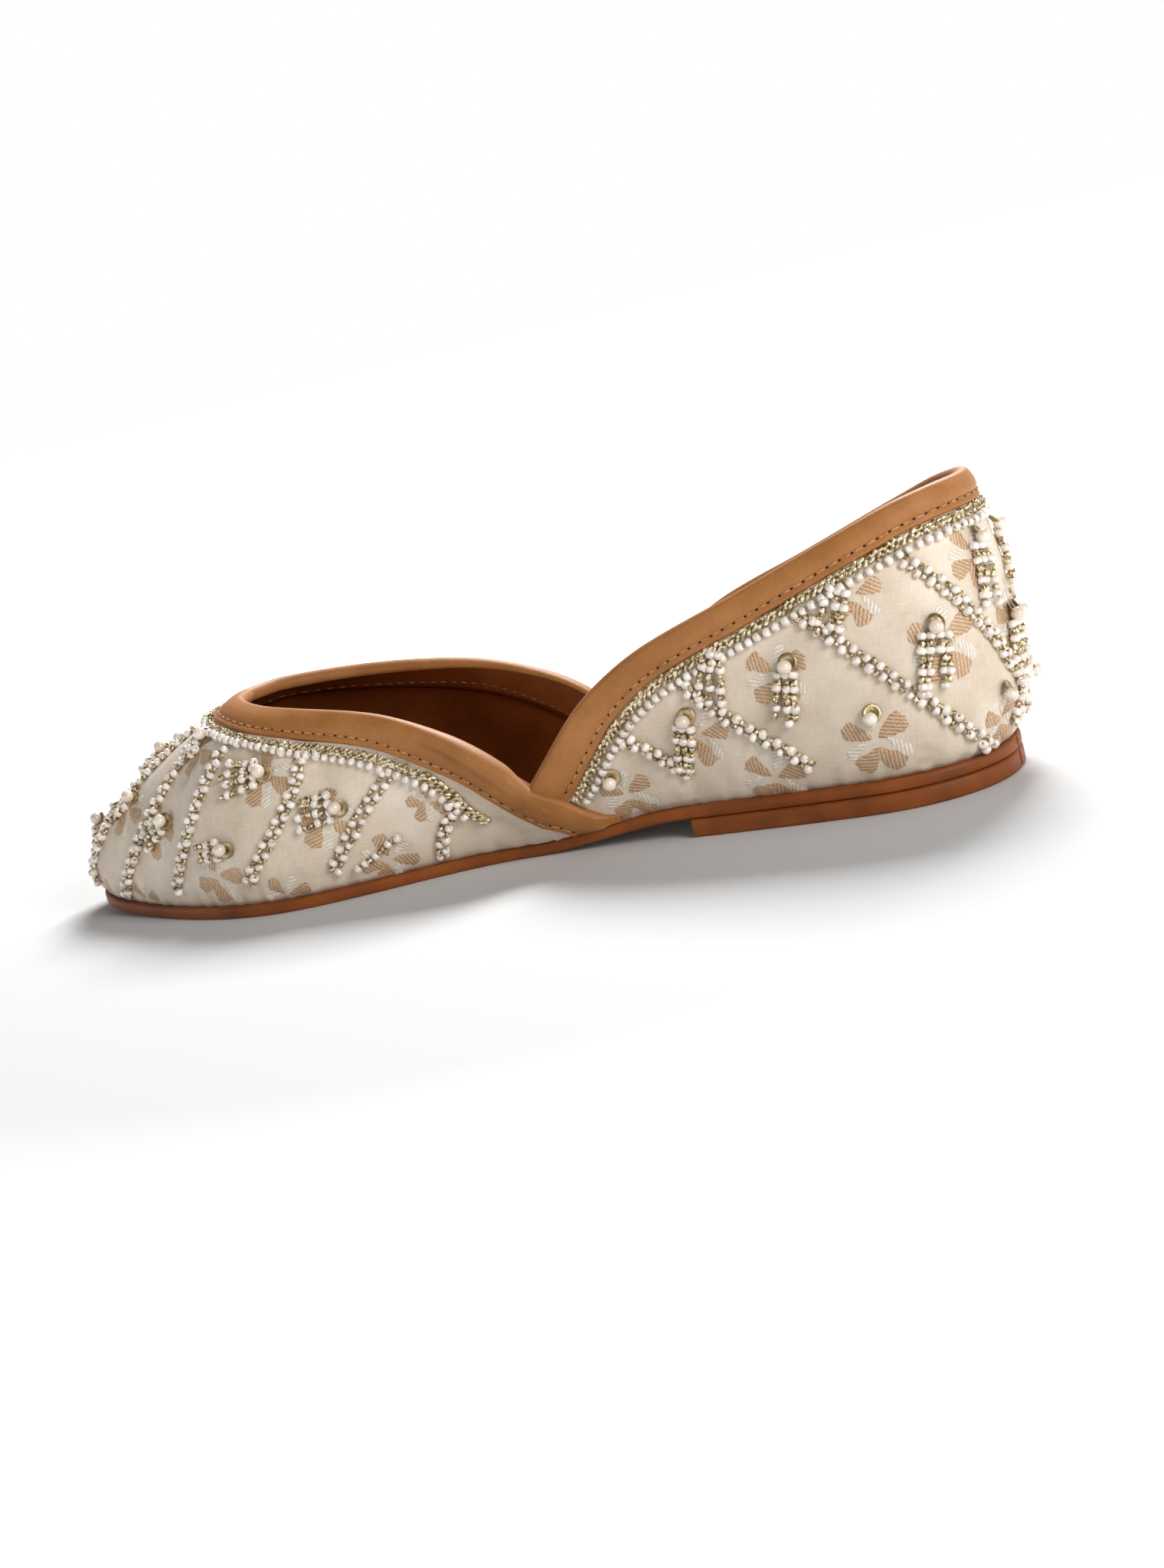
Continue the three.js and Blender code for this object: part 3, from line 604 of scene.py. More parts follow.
def slab(name, ends, inset, bottom, top, materials, slot):
    """A sheet between two heights, from one turn to another, with a rounded edge."""
    turns = np.concatenate([ends[0] + np.geomspace(0.001, 0.03, 8) - 0.001, np.linspace(*ends, 160)[6:-6],
                            (ends[1] - np.geomspace(0.001, 0.03, 8) + 0.001)[::-1]])
    turns = np.unique(np.clip(turns, *ends))
    arc = np.radians([0, 30, 60, 90])
    draw_in = np.concatenate([1 - np.sin(arc), 1 - np.sin(arc)[::-1]]) * EDGE_ROUND
    climb = np.concatenate([1 - np.cos(arc), -1 + np.cos(arc)[::-1]]) * EDGE_ROUND
    rings = len(draw_in)
    sides = []
    for side in (1, -1):
        plan = np.stack([inset_point(side * turns, inset + d) for d in draw_in], 1)
        low, high = bottom(plan[..., 0]), top(plan[..., 0])
        height = np.where(np.arange(rings) < 4, low + climb, high + climb)
        sides.append(np.concatenate([plan, height[..., None]], -1))
    loops = np.concatenate([sides[0], sides[1][:, ::-1]], 1)
    faces = grid_faces(len(turns), 2 * rings, closed_columns=True)
    last = (len(turns) - 1) * 2 * rings
    faces += [tuple(range(2 * rings)), tuple(last + i for i in range(2 * rings))]
    made = finished(name, placed(loops.reshape(-1, 3)), faces, materials)
    weld(made)
    upright = np.array([abs(face.normal.z) for face in made.data.polygons])
    made.data.polygons.foreach_set("material_index", (upright < 0.8).astype(int))
    return made


outsole = slab("leather_outsole", (0.004, 0.996), 0, sole_bottom, sole_top, [sole_hide, sole_edge], "")
hand_over(outsole, "sole_leather", "outsole")
lift = slab("stacked_heel_lift", (0.004, turn_at(LIFT_LENGTH)), 0, lambda x: 0 * x,
            lambda x: 0 * x + LIFT_HEIGHT - 0.05, [sole_hide, sole_edge], "")
hand_over(lift, "sole_leather", "heel_lift")
footbed = slab("padded_footbed", (0.004, 0.996), UPPER_INSET + WALL + 2 * CLEAR,
               lambda x: sole_top(x) + CLEAR, lambda x: sole_top(x) + 2.5, [lining_calf, lining_calf], "")
hand_over(footbed, "footbed_leather", "insole")

# %% [markdown]
# The upper is cloth glued to a canvas and a lining, pulled down over the last and tucked under its
# rim. Pulled cloth is never quite even: it gathers in small folds where it turns under at the sole,
# and it dips along every row of beads, where the thread draws it in. Those folds are listed
# as soft troughs and ridges, in millimetres on the cloth laid flat.

# %% Where the beads run: ropes of beads along the cloth
# Each rope goes from under a strip to near the sole; bow bends its middle ahead, in rounds.
ROPES = {
    "from_round": (0.785, 0.725, 0.663, 0.61, 0.541, 0.503, 0.408, 0.352, 0.262, 0.178),
    "from_rise": (0.87, 0.86, 0.84, 0.82, 0.8, 0.66, 0.74, 0.84, 0.87, 0.9),
    "to_round": (0.893, 0.812, 0.724, 0.646, 0.588, 0.527, 0.352, 0.259, 0.068, -0.03),
    "to_rise": (0.12, 0.05, 0.08, 0.11, 0.11, 0.06, 0.2, 0.14, 0.03, 0.12),
    "bow": (0.01, -0.012, -0.008, -0.012, 0.002, 0.005, 0, 0.012, 0.014, -0.004),
}


def rope_line(k, side, steps=60):
    """Points of one rope on the face, as turns and rises."""
    t = np.linspace(0, 1, steps)
    turn = mix(ROPES["from_round"][k], ROPES["to_round"][k], t) + ROPES["bow"][k] * 4 * t * (1 - t)
    return side * turn, mix(ROPES["from_rise"][k], ROPES["to_rise"][k], t)


# %% Where the cloth creases
# Width and depth are in millimetres. A crease of negative depth is a trough.
CREASES = {
    "round": (0.64, 0.60, 0.70, 0.52, 0.49, 0.44, 0.06, 0.10, 0.16, 0.03, 0.88, 0.93, 0.84, 0.36),
    "rise": (0.8, 0.72, 0.7, 0.45, 0.4, 0.3, 0.02, 0.02, 0.02, 0.3, 0.02, 0.02, 0.02, 0.1),
    "to_round": (0.65, 0.59, 0.72, 0.55, 0.47, 0.4, 0.04, 0.085, 0.15, 0.02, 0.87, 0.91, 0.83, 0.33),
    "to_rise": (0.6, 0.5, 0.5, 0.2, 0.15, 0.05, 0.2, 0.18, 0.14, 0.7, 0.2, 0.22, 0.16, 0.4),
    "width": (2.6, 3, 2.6, 3.4, 2.8, 2.5, 2, 2, 2.5, 5, 2.2, 2.2, 2.5, 4),
    "depth": (-1, -0.9, -0.9, 0.9, -0.9, 0.7, -0.8, 0.7, -0.7, -0.8, -0.8, -0.8, 0.6, -0.8),
}
GATHER_PITCH = 6.3
GATHER_DEPTH = 0.42
GATHER_HEIGHT = 4.5
TUCK = 0.9
# Under the end of the vamp's strip the cloth lies flat: its place round the shoe and up the side.
LAP_END = (0.425, 0.06)
LAP_CALM = 9


def section_turns():
    side = np.concatenate([
        np.linspace(0, TAIL_ROUND, 100)[:-1],
        np.linspace(TAIL_ROUND, CROSSING_ROUND, 26)[:-1],
        np.linspace(CROSSING_ROUND, THROAT_ROUND, 124)[:-1],
        np.linspace(THROAT_ROUND, 1, 70),
    ])
    return np.concatenate([side, -side[1:-1][::-1]])


def section_rises(turn, rows=24):
    """Rises of each section's points, with the step of the lap between two of them."""
    a = np.abs(turn)
    near = smoothstep(a, TAIL_ROUND - 0.12, TAIL_ROUND)
    near = near * (1 - smoothstep(a, CROSSING_ROUND, CROSSING_ROUND + 0.06))
    split = mix(0.5, lap_edge(turn), near)[:, None]
    share = np.linspace(0, 1, rows)
    low = share * (split - STEP_HALF)
    high = mix(split + STEP_HALF, 1, share)
    return np.concatenate([low, high], 1)


turns = section_turns()
rises = section_rises(turns)
turn_grid = np.repeat(turns[:, None], rises.shape[1], 1)
face_grid = on_face(turn_grid, rises)
normal_grid = facing(turn_grid, rises)
up_length = np.cumsum(np.linalg.norm(np.diff(face_grid, axis=1, prepend=face_grid[:, :1]), axis=-1), 1)
middle_row = face_grid[:, rises.shape[1] // 2]
round_step = np.linalg.norm(np.roll(middle_row, -1, 0) - middle_row, axis=-1)
round_length = np.concatenate([[0], np.cumsum(round_step)[:-1]])
full_round = round_step.sum()
print("round the upper:", round(full_round), "mm, sections:", len(turns))


# %% Flat places of the folds
half_turns = turns[turns >= 0]


def flat(turn, rise):
    """Millimetres along and up the cloth as if it were laid flat, along being negative on the right."""
    a = np.abs(turn)
    along = np.interp(a, half_turns, round_length[:len(half_turns)]) * np.where(turn < 0, -1, 1)
    tall = np.interp(a, half_turns, up_length[:len(half_turns), -1])
    return np.stack([along, rise * tall], -1)


def trough(points, line, width):
    """1 on a line through the flat cloth, fading to 0 at its ends and within a width beside it."""
    deepest = np.zeros(points.shape[:-1])
    for k, (start, end) in enumerate(zip(line[:-1], line[1:])):
        along = end - start
        share = np.clip(((points - start) @ along) / (along @ along), 0, 1)
        apart = np.linalg.norm(points - start - share[..., None] * along, axis=-1)
        whole = (k + share) / (len(line) - 1)
        ends = np.minimum(1, 6 * np.minimum(whole, 1 - whole)) if len(line) == 2 else 1
        deepest = np.maximum(deepest, np.exp(-(apart / width) ** 2) * ends)
    return deepest


def folds(points, rise):
    """How far the cloth stands out from the plain form."""
    along, up = points[..., 0], points[..., 1]
    wave = np.sin(2 * np.pi * along / GATHER_PITCH + 1.7 * np.sin(along / 19))
    wave = wave + 0.6 * np.sin(2 * np.pi * along / (GATHER_PITCH * 0.61) + 2 * np.sin(along / 11))
    out = GATHER_DEPTH * 0.5 * wave * np.exp(-up / GATHER_HEIGHT)
    out = out + 0.5 * np.exp(-((up - 6) / 4.5) ** 2) - TUCK * np.exp(-up / 0.9)
    for side in (1, -1):
        for k in range(len(CREASES["round"])):
            ends_turn = side * np.array([CREASES["round"][k], CREASES["to_round"][k]])
            line = flat(ends_turn, np.array([CREASES["rise"][k], CREASES["to_rise"][k]]))
            out = out + CREASES["depth"][k] * trough(points, line, CREASES["width"][k])
        for k in range(len(ROPES["bow"])):
            out = out - 0.35 * trough(points, flat(*rope_line(k, side, 7)), 3)
    for side in (1, -1):
        lap = flat(np.array(side * LAP_END[0]), np.array(LAP_END[1]))
        out = out * (1 - np.exp(-(np.linalg.norm(points - lap, axis=-1) / LAP_CALM) ** 2))
    return out * (1 - smoothstep(rise, 0.86, 0.97))


# %% Cloth outside, lining inside
flat_grid = flat(turn_grid, rises)
cloth_grid = face_grid + normal_grid * folds(flat_grid, rises)[..., None]
cloth_grid[:, 0, 2] = sole_top(cloth_grid[:, 0, 0])
lining_grid = bare(turn_grid, rises) - normal_grid * WALL
lining_grid[:, 0, 2] = sole_top(lining_grid[:, 0, 0])


def make_upper():
    """One closed shell: cloth outside, lining inside, joined at the sole and along the open edge."""
    rows, columns = turn_grid.shape
    loops = np.concatenate([cloth_grid, lining_grid[:, ::-1]], 1)
    around = 2 * columns
    faces, which, corners = [], [], []
    for i in range(rows):
        after = (i + 1) % rows
        capped = min(abs(turns[i]), abs(turns[after])) >= THROAT_ROUND - 1e-9
        for j in range(around):
            beside = (j + 1) % around
            if j == columns - 1 and capped:
                continue
            faces.append((i * around + j, i * around + beside, after * around + beside, after * around + j))
            which.append(int(j >= columns - 1))
            heights = [up_length[i, min(k, columns - 1)] for k in (j, j + 1)]
            heights += [up_length[after, min(k, columns - 1)] for k in (j + 1, j)]
            ends = (round_length[i],) * 2 + (round_length[i] + round_step[i],) * 2
            corners += list(zip(ends, heights))
    made = finished("brocade_upper", placed(loops.reshape(-1, 3)), faces, [silk, lining_calf], which)
    made.data.uv_layers.new(name="cloth").data.foreach_set("uv", np.array(corners).ravel() * mm)
    weld(made)
    return made


upper = make_upper()
hand_over(upper, "brocade", "upper")


# %% [markdown]
# Leather strips and beads are laid on the cloth. Each needs the nearest place on a face and the
# direction out of it, which a search tree over the face's polygons gives quickly. A walk goes over a
# face step by step, straight away from an edge, as a strip's width lies.

# %% Search trees and walks
def tree_of(grid):
    rows, columns = grid.shape[:2]
    return BVHTree.FromPolygons(grid.reshape(-1, 3).tolist(), grid_faces(rows, columns, closed_rows=True))


cloth_tree = tree_of(cloth_grid)
lapped_tree = tree_of(face_grid)
bare_tree = tree_of(bare(turn_grid, rises))


def nearest(tree, point):
    """The nearest place on a face and the direction out of it."""
    place, normal, _, _ = tree.find_nearest(Vector(point))
    return np.array(place), np.array(normal)


def walk(tree, start, ahead, distances):
    """Places on a face, and the directions out of it, at distances straight ahead from a start."""
    here, gone, spots = np.array(start), 0, []
    for distance in distances:
        here, out = nearest(tree, here)
        over = unit(ahead - out * (ahead @ out))
        here, out = nearest(tree, here + over * (distance - gone))
        gone = distance
        spots.append((here, out))
    return spots


def evenly(points, spacing):
    """Points spread evenly along a path."""
    length = np.concatenate([[0], np.cumsum(np.linalg.norm(np.diff(points, axis=0), axis=1))])
    at = np.linspace(0, length[-1], max(2, round(length[-1] / spacing) + 1))
    return np.stack([np.interp(at, length, points[:, k]) for k in range(3)], -1)


def softened(values, times=4):
    """Values along a path, each drawn towards its neighbours."""
    for _ in range(times):
        inner = (values[:-2] + 2 * values[1:-1] + values[2:]) / 4
        values = np.concatenate([values[:1], inner, values[-1:]])
    return values


def directions(path):
    """Along each point of a path, and away from the path over the face."""
    run = unit(softened(np.gradient(path, axis=0), 6))
    out = np.array([nearest(bare_tree, point)[1] for point in path])
    out = unit(softened(out, 6))
    return run, unit(np.cross(out, run))


# %% [markdown]
# A folded strip is one length of leather: up the outside, over the edge and down the inside, where
# the lining covers it. The vamp's strip runs on beyond the opening: it follows the vamp's edge down
# over the heel part to the sole, on both sides.

# %% Leather strips
STRIP_CUT = 10
STRIP = {
    "round": (0, 0.2, 0.37, CROSSING_ROUND, 0.505, 0.56, 0.64, THROAT_ROUND),
    "share": (0.58, 0.6, 0.63, 0.84, 0.82, 0.68, 0.75, 0.78),
}
STRIP_INSIDE = 8
LEATHER = 1
STITCH_IN = 1.7
STITCH_LENGTH = 3.0


def rim(start, end, count):
    turn = np.linspace(start, end, count)
    return np.stack([turn, np.ones(count)], -1)


def vamp_course():
    """Turns and rises along the vamp's edge on one side, from the tail at the sole to the throat."""
    tail = np.linspace(TAIL_ROUND - 0.004, CROSSING_ROUND, 60)[:-1]
    over = np.stack([tail, lap_edge(tail) + STEP_HALF * 0.5], -1)
    return np.concatenate([over, rim(CROSSING_ROUND, THROAT_ROUND, 160)])


def course_points(course):
    return bare(course[:, 0], course[:, 1])


strip_share = column(STRIP, "share", 0, 0)


def strip_width(rounds):
    return STRIP_CUT * strip_share(rounds)


def rounds_of(path, course):
    """How far round the shoe each point of a path is, from the course that the path follows."""
    marks = course_points(course)
    apart = np.linalg.norm(path[:, None] - marks[None], axis=-1)
    return softened(np.abs(course[apart.argmin(1), 0]), 4)


def strip_profile(distance, width):
    """How far the strip's outside stands off what it lies on, at a distance from the fold."""
    from_cut = width - distance
    edge = np.sqrt(np.clip(1 - (1 - np.clip(from_cut / 0.5, 0, 1)) ** 2, 0, 1))
    groove = 0.28 * np.exp(-((from_cut - STITCH_IN) / 0.55) ** 2)
    plump = 0.35 * np.sin(np.pi * np.clip(distance / (width - STITCH_IN), 0, 1))
    return (LEATHER - 0.15) * edge - groove + plump


ACROSS = 17


def make_strip(name, path, widths, lap, folded):
    """lap is the step under the strip and folded is 1 where it folds over the open edge, for each point."""
    run, into = directions(path)
    deep = np.linspace(0, STRIP_INSIDE, 6)
    loops = []
    for point, away, width, step, fold in zip(path, into, widths, lap, folded):
        wide = np.concatenate([np.linspace(0, width - 0.6, ACROSS - 4), width - np.array([0.42, 0.2, 0.06, 0])])
        outside = []
        for distance, (spot, out) in zip(wide, walk(bare_tree, point, away, wide)):
            raised = nearest(lapped_tree, spot + out * step)[0]
            lift = step if distance < 2 else max(0, (raised - spot) @ out)
            outside.append(spot + out * (lift + strip_profile(distance, width)))
        edge, out = nearest(bare_tree, point)
        half = (WALL + step + 2 * (LEATHER - 0.15)) / 2
        centre = edge + out * (step + LEATHER - 0.15 - half)
        arcs = np.linspace(0, np.pi, 9)[1:-1]
        over = [centre + out * half * math.cos(arc) - away * min(half, 1.4) * math.sin(arc) for arc in arcs]
        low_half = (step + LEATHER + 0.15) / 2
        low = edge + out * (step + LEATHER - 0.15 - low_half)
        flat_over = [low + out * low_half * math.cos(arc) - away * 0.8 * math.sin(arc) for arc in arcs]
        inner = [spot - out * (WALL + 0.7) for spot, out in walk(bare_tree, point, away, deep)]
        sunk = [edge - out * 0.3 + away * distance * 0.4 for distance in deep]
        loop = outside[::-1] + [mix(a, b, fold) for a, b in zip(flat_over + sunk, over + inner)]
        loops.append(loop)
    loops = np.array(loops)
    floor = sole_top(loops[..., 0]) + 0.02
    loops[..., 2] = np.maximum(loops[..., 2], floor)
    rows, columns = loops.shape[:2]
    faces = grid_faces(rows, columns, closed_columns=True)
    which = [int(j > ACROSS + 6) for _ in range(rows - 1) for j in range(columns)]
    last = (rows - 1) * columns
    faces += [tuple(range(columns)), tuple(last + j for j in range(columns))]
    made = finished(name, placed(loops.reshape(-1, 3)), faces, [tan_calf, lining_calf], which + [0, 0])
    weld(made)
    outside_grid = loops[:, :ACROSS + 4]
    tree = BVHTree.FromPolygons(outside_grid.reshape(-1, 3).tolist(), grid_faces(rows, ACROSS + 4))
    return made, tree


half_course = vamp_course()
course = np.concatenate([half_course, half_course[::-1][1:] * [-1, 1]])
vamp_path = softened(evenly(course_points(course), 1.2), 3)
vamp_rounds = rounds_of(vamp_path, course)
vamp_side = np.abs(vamp_path[:, 0])
vamp_lap = LAP_THICKNESS * smoothstep(vamp_side, TAIL_AT, TAIL_AT + LAP_CUT_IN)
vamp_lap = vamp_lap * (1 - smoothstep(vamp_side, CROSSING_AT + 6, CROSSING_AT + LAP_FADE))
crossing_x = float(top_point(np.array(CROSSING_ROUND))[0])
vamp_fold = smoothstep(vamp_side, crossing_x, crossing_x + 7)
vamp_strip, vamp_strip_tree = make_strip(
    "vamp_edge_strip", vamp_path, strip_width(vamp_rounds), vamp_lap, vamp_fold)
hand_over(vamp_strip, "binding_leather", "vamp_binding")

quarter_course = rim(-CROSSING_ROUND, CROSSING_ROUND, 320)
quarter_path = course_points(quarter_course)
ahead = unit(quarter_path[-1] - quarter_path[-6])
behind = unit(quarter_path[0] - quarter_path[5])
reach = np.linspace(1, 4, 4)[:, None]
quarter_path = evenly(np.concatenate([
    (quarter_path[0] + behind * reach)[::-1], quarter_path, quarter_path[-1] + ahead * reach]), 1.2)
quarter_rounds = rounds_of(quarter_path, quarter_course)
every = np.ones(len(quarter_path))
quarter_strip, quarter_strip_tree = make_strip(
    "heel_edge_strip", quarter_path, strip_width(quarter_rounds), every * 0, every)
hand_over(quarter_strip, "binding_leather", "quarter_binding")


# %% [markdown]
# Stitches, beads and sequins repeat, so one Geometry Nodes tree places them all: it takes a cloud of
# points that carry a direction out, a direction along and a size, sets a copy of one small shape on
# each, makes the copies real and gives them their material.

# %% A tree that sets small shapes on points
def attribute(tree, name, kind):
    return node(tree, "GeometryNodeInputNamedAttribute", {"Name": name}, data_type=kind).outputs["Attribute"]


def make_setting_tree():
    tree = bpy.data.node_groups.new("set shapes on points", "GeometryNodeTree")
    sockets = tree.interface
    sockets.new_socket("Geometry", in_out="INPUT", socket_type="NodeSocketGeometry")
    sockets.new_socket("Shape", in_out="INPUT", socket_type="NodeSocketObject")
    sockets.new_socket("Material", in_out="INPUT", socket_type="NodeSocketMaterial")
    sockets.new_socket("Wobble", in_out="INPUT", socket_type="NodeSocketFloat")
    sockets.new_socket("Geometry", in_out="OUTPUT", socket_type="NodeSocketGeometry")
    given = node(tree, "NodeGroupInput").outputs
    shape = node(tree, "GeometryNodeObjectInfo", {"Object": given["Shape"]}).outputs["Geometry"]
    outward_turn = node(tree, "FunctionNodeAlignRotationToVector",
                        {"Vector": attribute(tree, "out", "FLOAT_VECTOR")}, axis="Z").outputs[0]
    along_turn = node(tree, "FunctionNodeAlignRotationToVector",
                      {"Rotation": outward_turn, "Vector": attribute(tree, "along", "FLOAT_VECTOR")},
                      axis="X", pivot_axis="Z").outputs[0]
    lowest = node(tree, "ShaderNodeVectorMath", {0: (-1, -1, -1), "Scale": given["Wobble"]}, operation="SCALE")
    highest = node(tree, "ShaderNodeVectorMath", {0: (1, 1, 1), "Scale": given["Wobble"]}, operation="SCALE")
    wobble = node(tree, "FunctionNodeRandomValue",
                  {0: lowest.outputs[0], 1: highest.outputs[0], "Seed": 4}, data_type="FLOAT_VECTOR").outputs[0]
    turned = node(tree, "FunctionNodeRotateRotation",
                  {"Rotation": along_turn, "Rotate By": node(
                      tree, "FunctionNodeEulerToRotation", {0: wobble}).outputs[0]},
                  rotation_space="LOCAL").outputs[0]
    copies = node(tree, "GeometryNodeInstanceOnPoints", {
        "Points": given["Geometry"], "Instance": shape, "Rotation": turned,
        "Scale": attribute(tree, "size", "FLOAT_VECTOR"),
    }).outputs[0]
    real = node(tree, "GeometryNodeRealizeInstances", {0: copies}).outputs[0]
    dressed = node(tree, "GeometryNodeSetMaterial", {"Geometry": real, "Material": given["Material"]}).outputs[0]
    node(tree, "NodeGroupOutput", {"Geometry": dressed})
    return tree


setting_tree = make_setting_tree()


def set_shapes(name, places, shape, material, slot, wobble=0.0):
    """places is a list of rows: point on the last, direction out, direction along, size in mm."""
    points = np.array([row[0] for row in places])
    cloud = bpy.data.meshes.new(name)
    cloud.from_pydata(placed(points).tolist(), [], [])
    for label, k in (("out", 1), ("along", 2), ("size", 3)):
        values = np.array([row[k] for row in places], float)
        values = values * mm if label == "size" else values
        cloud.attributes.new(label, "FLOAT_VECTOR", "POINT").data.foreach_set("vector", values.ravel())
    holder = bpy.data.objects.new(name + "_cloud", cloud)
    bpy.context.scene.collection.objects.link(holder)
    setter = holder.modifiers.new("set shapes", "NODES")
    setter.node_group = setting_tree
    values = {"Shape": shape, "Material": material, "Wobble": wobble}
    for item in setting_tree.interface.items_tree:
        if item.in_out == "INPUT" and item.name in values:
            setter[item.identifier] = values[item.name]
    evaluated = holder.evaluated_get(bpy.context.evaluated_depsgraph_get())
    mesh = bpy.data.meshes.new_from_object(evaluated)
    bpy.data.objects.remove(holder)
    mesh.polygons.foreach_set("use_smooth", [True] * len(mesh.polygons))
    made = bpy.data.objects.new(name, mesh)
    bpy.context.scene.collection.objects.link(made)
    hand_over(made, slot)
    return made


# %% The small shapes: bead, cut tube, ball, sequin, stitch
def turned_shape(name, profile, sides=10):
    """A small shape turned round its X axis from a profile of (along, out) pairs, a unit across."""
    angles = np.arange(sides) * 2 * np.pi / sides
    rings = [[(x, r * math.cos(a), r * math.sin(a)) for a in angles] for x, r in profile]
    points = np.array(rings).reshape(-1, 3)
    closed = profile[0] == profile[-1]
    faces = grid_faces(len(profile), sides, closed_columns=True)
    made = finished(name, points, faces, [])
    weld(made, 1e-5)
    return made


hole = 0.14
bead_arc = [math.pi * k / 5 for k in range(6)]
bead_profile = [(-0.36 * math.cos(a), 0.27 + 0.23 * math.sin(a)) for a in bead_arc]
bead_profile = [(-0.3, hole)] + bead_profile + [(0.3, hole), (-0.3, hole)]
tube_profile = [(-0.5, 0.2), (-0.5, 0.42), (-0.44, 0.5), (0.44, 0.5), (0.5, 0.42), (0.5, 0.2), (-0.5, 0.2)]
ball_profile = [(-0.5 * math.cos(math.pi * k / 8), max(0.5 * math.sin(math.pi * k / 8), 1e-7)) for k in range(9)]
seed_bead = turned_shape("seed bead shape", bead_profile)
cut_tube = turned_shape("cut tube shape", tube_profile, 8)
ball = turned_shape("ball shape", ball_profile, 12)


def make_sequin_shape():
    """A cupped disc a unit across, lying flat with its hollow up."""
    rings = [(0.08, -0.04), (0.3, -0.02), (0.44, 0.05), (0.5, 0.09), (0.47, 0.12), (0.3, 0.04), (0.08, 0.02)]
    angles = np.arange(16) * 2 * np.pi / 16
    points = np.array([[(r * math.cos(a), r * math.sin(a), z) for a in angles] for r, z in rings])
    faces = grid_faces(len(rings), 16, closed_rows=True, closed_columns=True)
    made = finished("sequin shape", points.reshape(-1, 3), faces, [])
    weld(made, 1e-5)
    return made


sequin = make_sequin_shape()
rng = np.random.default_rng(7)

# %% [markdown]
# The strips are sewn down near their cut edge. A saddle stitch shows as short threads sunk in the
# leather, and between each two a small dark ball stands for the needle hole: painted shade.

# %% Stitches along the strips
def stitch_places(path, widths, tree, over):
    """Places of threads and of needle holes along a strip's cut edge, but not under what lies over it."""
    run, into = directions(path)
    threads, holes, inside = [], [], []
    for k, (point, along, away) in enumerate(zip(path, run, into)):
        spot, out = walk(bare_tree, point, away, [widths[k] - STITCH_IN])[0]
        hit, _, _, _ = tree.ray_cast(Vector(spot + out * 8), Vector(-out), 12)
        if hit is None or hit[2] < sole_top(hit[0]) + 0.6:
            continue
        if over is not None and over.find_nearest(hit, 1.6)[0] is not None:
            continue
        if k % 2 and np.abs(spot[0] - crossing_x) > 9:
            inside.append((spot - out * (WALL + 0.76), -out, along, (1.7, 0.35, 0.3)))
        size = (2.3, 0.55, 0.5) if k % 2 else (0.75, 0.6, 0.4)
        row = (np.array(hit) + out * (0.12 if k % 2 else -0.02), out, along, size)
        (threads if k % 2 else holes).append(row)
    return threads, holes, inside


sewn = (
    ("vamp", vamp_path, course, vamp_strip_tree, None),
    ("heel", quarter_path, quarter_course, quarter_strip_tree, vamp_strip_tree),
)
for label, path, marks, tree, over in sewn:
    path = softened(evenly(path, STITCH_LENGTH / 2), 2)
    threads, holes, inside = stitch_places(path, strip_width(rounds_of(path, marks)), tree, over)
    set_shapes(label + "_strip_stitches", threads, ball, tan_thread, "binding_leather")
    # The inside stitches take the darker thread: painted shade.
    set_shapes(label + "_strip_stitches_inside", inside, ball, thread_inside_painted_shade, "binding_leather")
    # The needle holes are small dark balls of painted shade.
    set_shapes(label + "_strip_needle_holes", holes, ball, needle_hole_painted_shade, "binding_leather")


# %% [markdown]
# Under each strip runs a border of beads: two to four close rows of silver-lined cut tubes laid
# aslant, and along them a row of white beads. The rows follow the strip's cut edge, and the white
# row comes nearer to it at the throat, where only one or two rows of gold beads have room.

# %% Bead border under the strips
BORDER = {
    "round": (0, 0.3, CROSSING_ROUND, 0.53, 0.6, 0.66, THROAT_ROUND),
    "white": (3.6, 3.6, 3.7, 4.2, 3.8, 3.4, 3.3),
}
GOLD_ROWS = (0.7, 1.65, 2.6, 3.55)
WHITE_BEAD = 2.25
GOLD_TUBE = (1.85, 1.05, 1.05)
GOLD_PITCH = 1.55
WHITE_PITCH = 2.35
SOLE_CLEAR = 4.2
white_row = column(BORDER, "white", 0, 0)


def row_on_cloth(path, distances):
    """A line over the cloth at distances from a strip's fold."""
    _, into = directions(path)
    line = []
    for point, away, distance in zip(path, into, distances):
        spot, _ = walk(bare_tree, point, away, np.linspace(0, distance, 6))[-1]
        spot, out = nearest(cloth_tree, spot + nearest(bare_tree, spot)[1] * 1.5)
        line.append(spot)
    return np.array(line)


def covered(point, trees, apart, above_sole=0.7):
    """True if a bead would come too near a strip or the sole."""
    if point[2] < sole_top(point[0]) + above_sole:
        return True
    return any(tree.find_nearest(Vector(point), apart)[0] is not None for tree in trees)


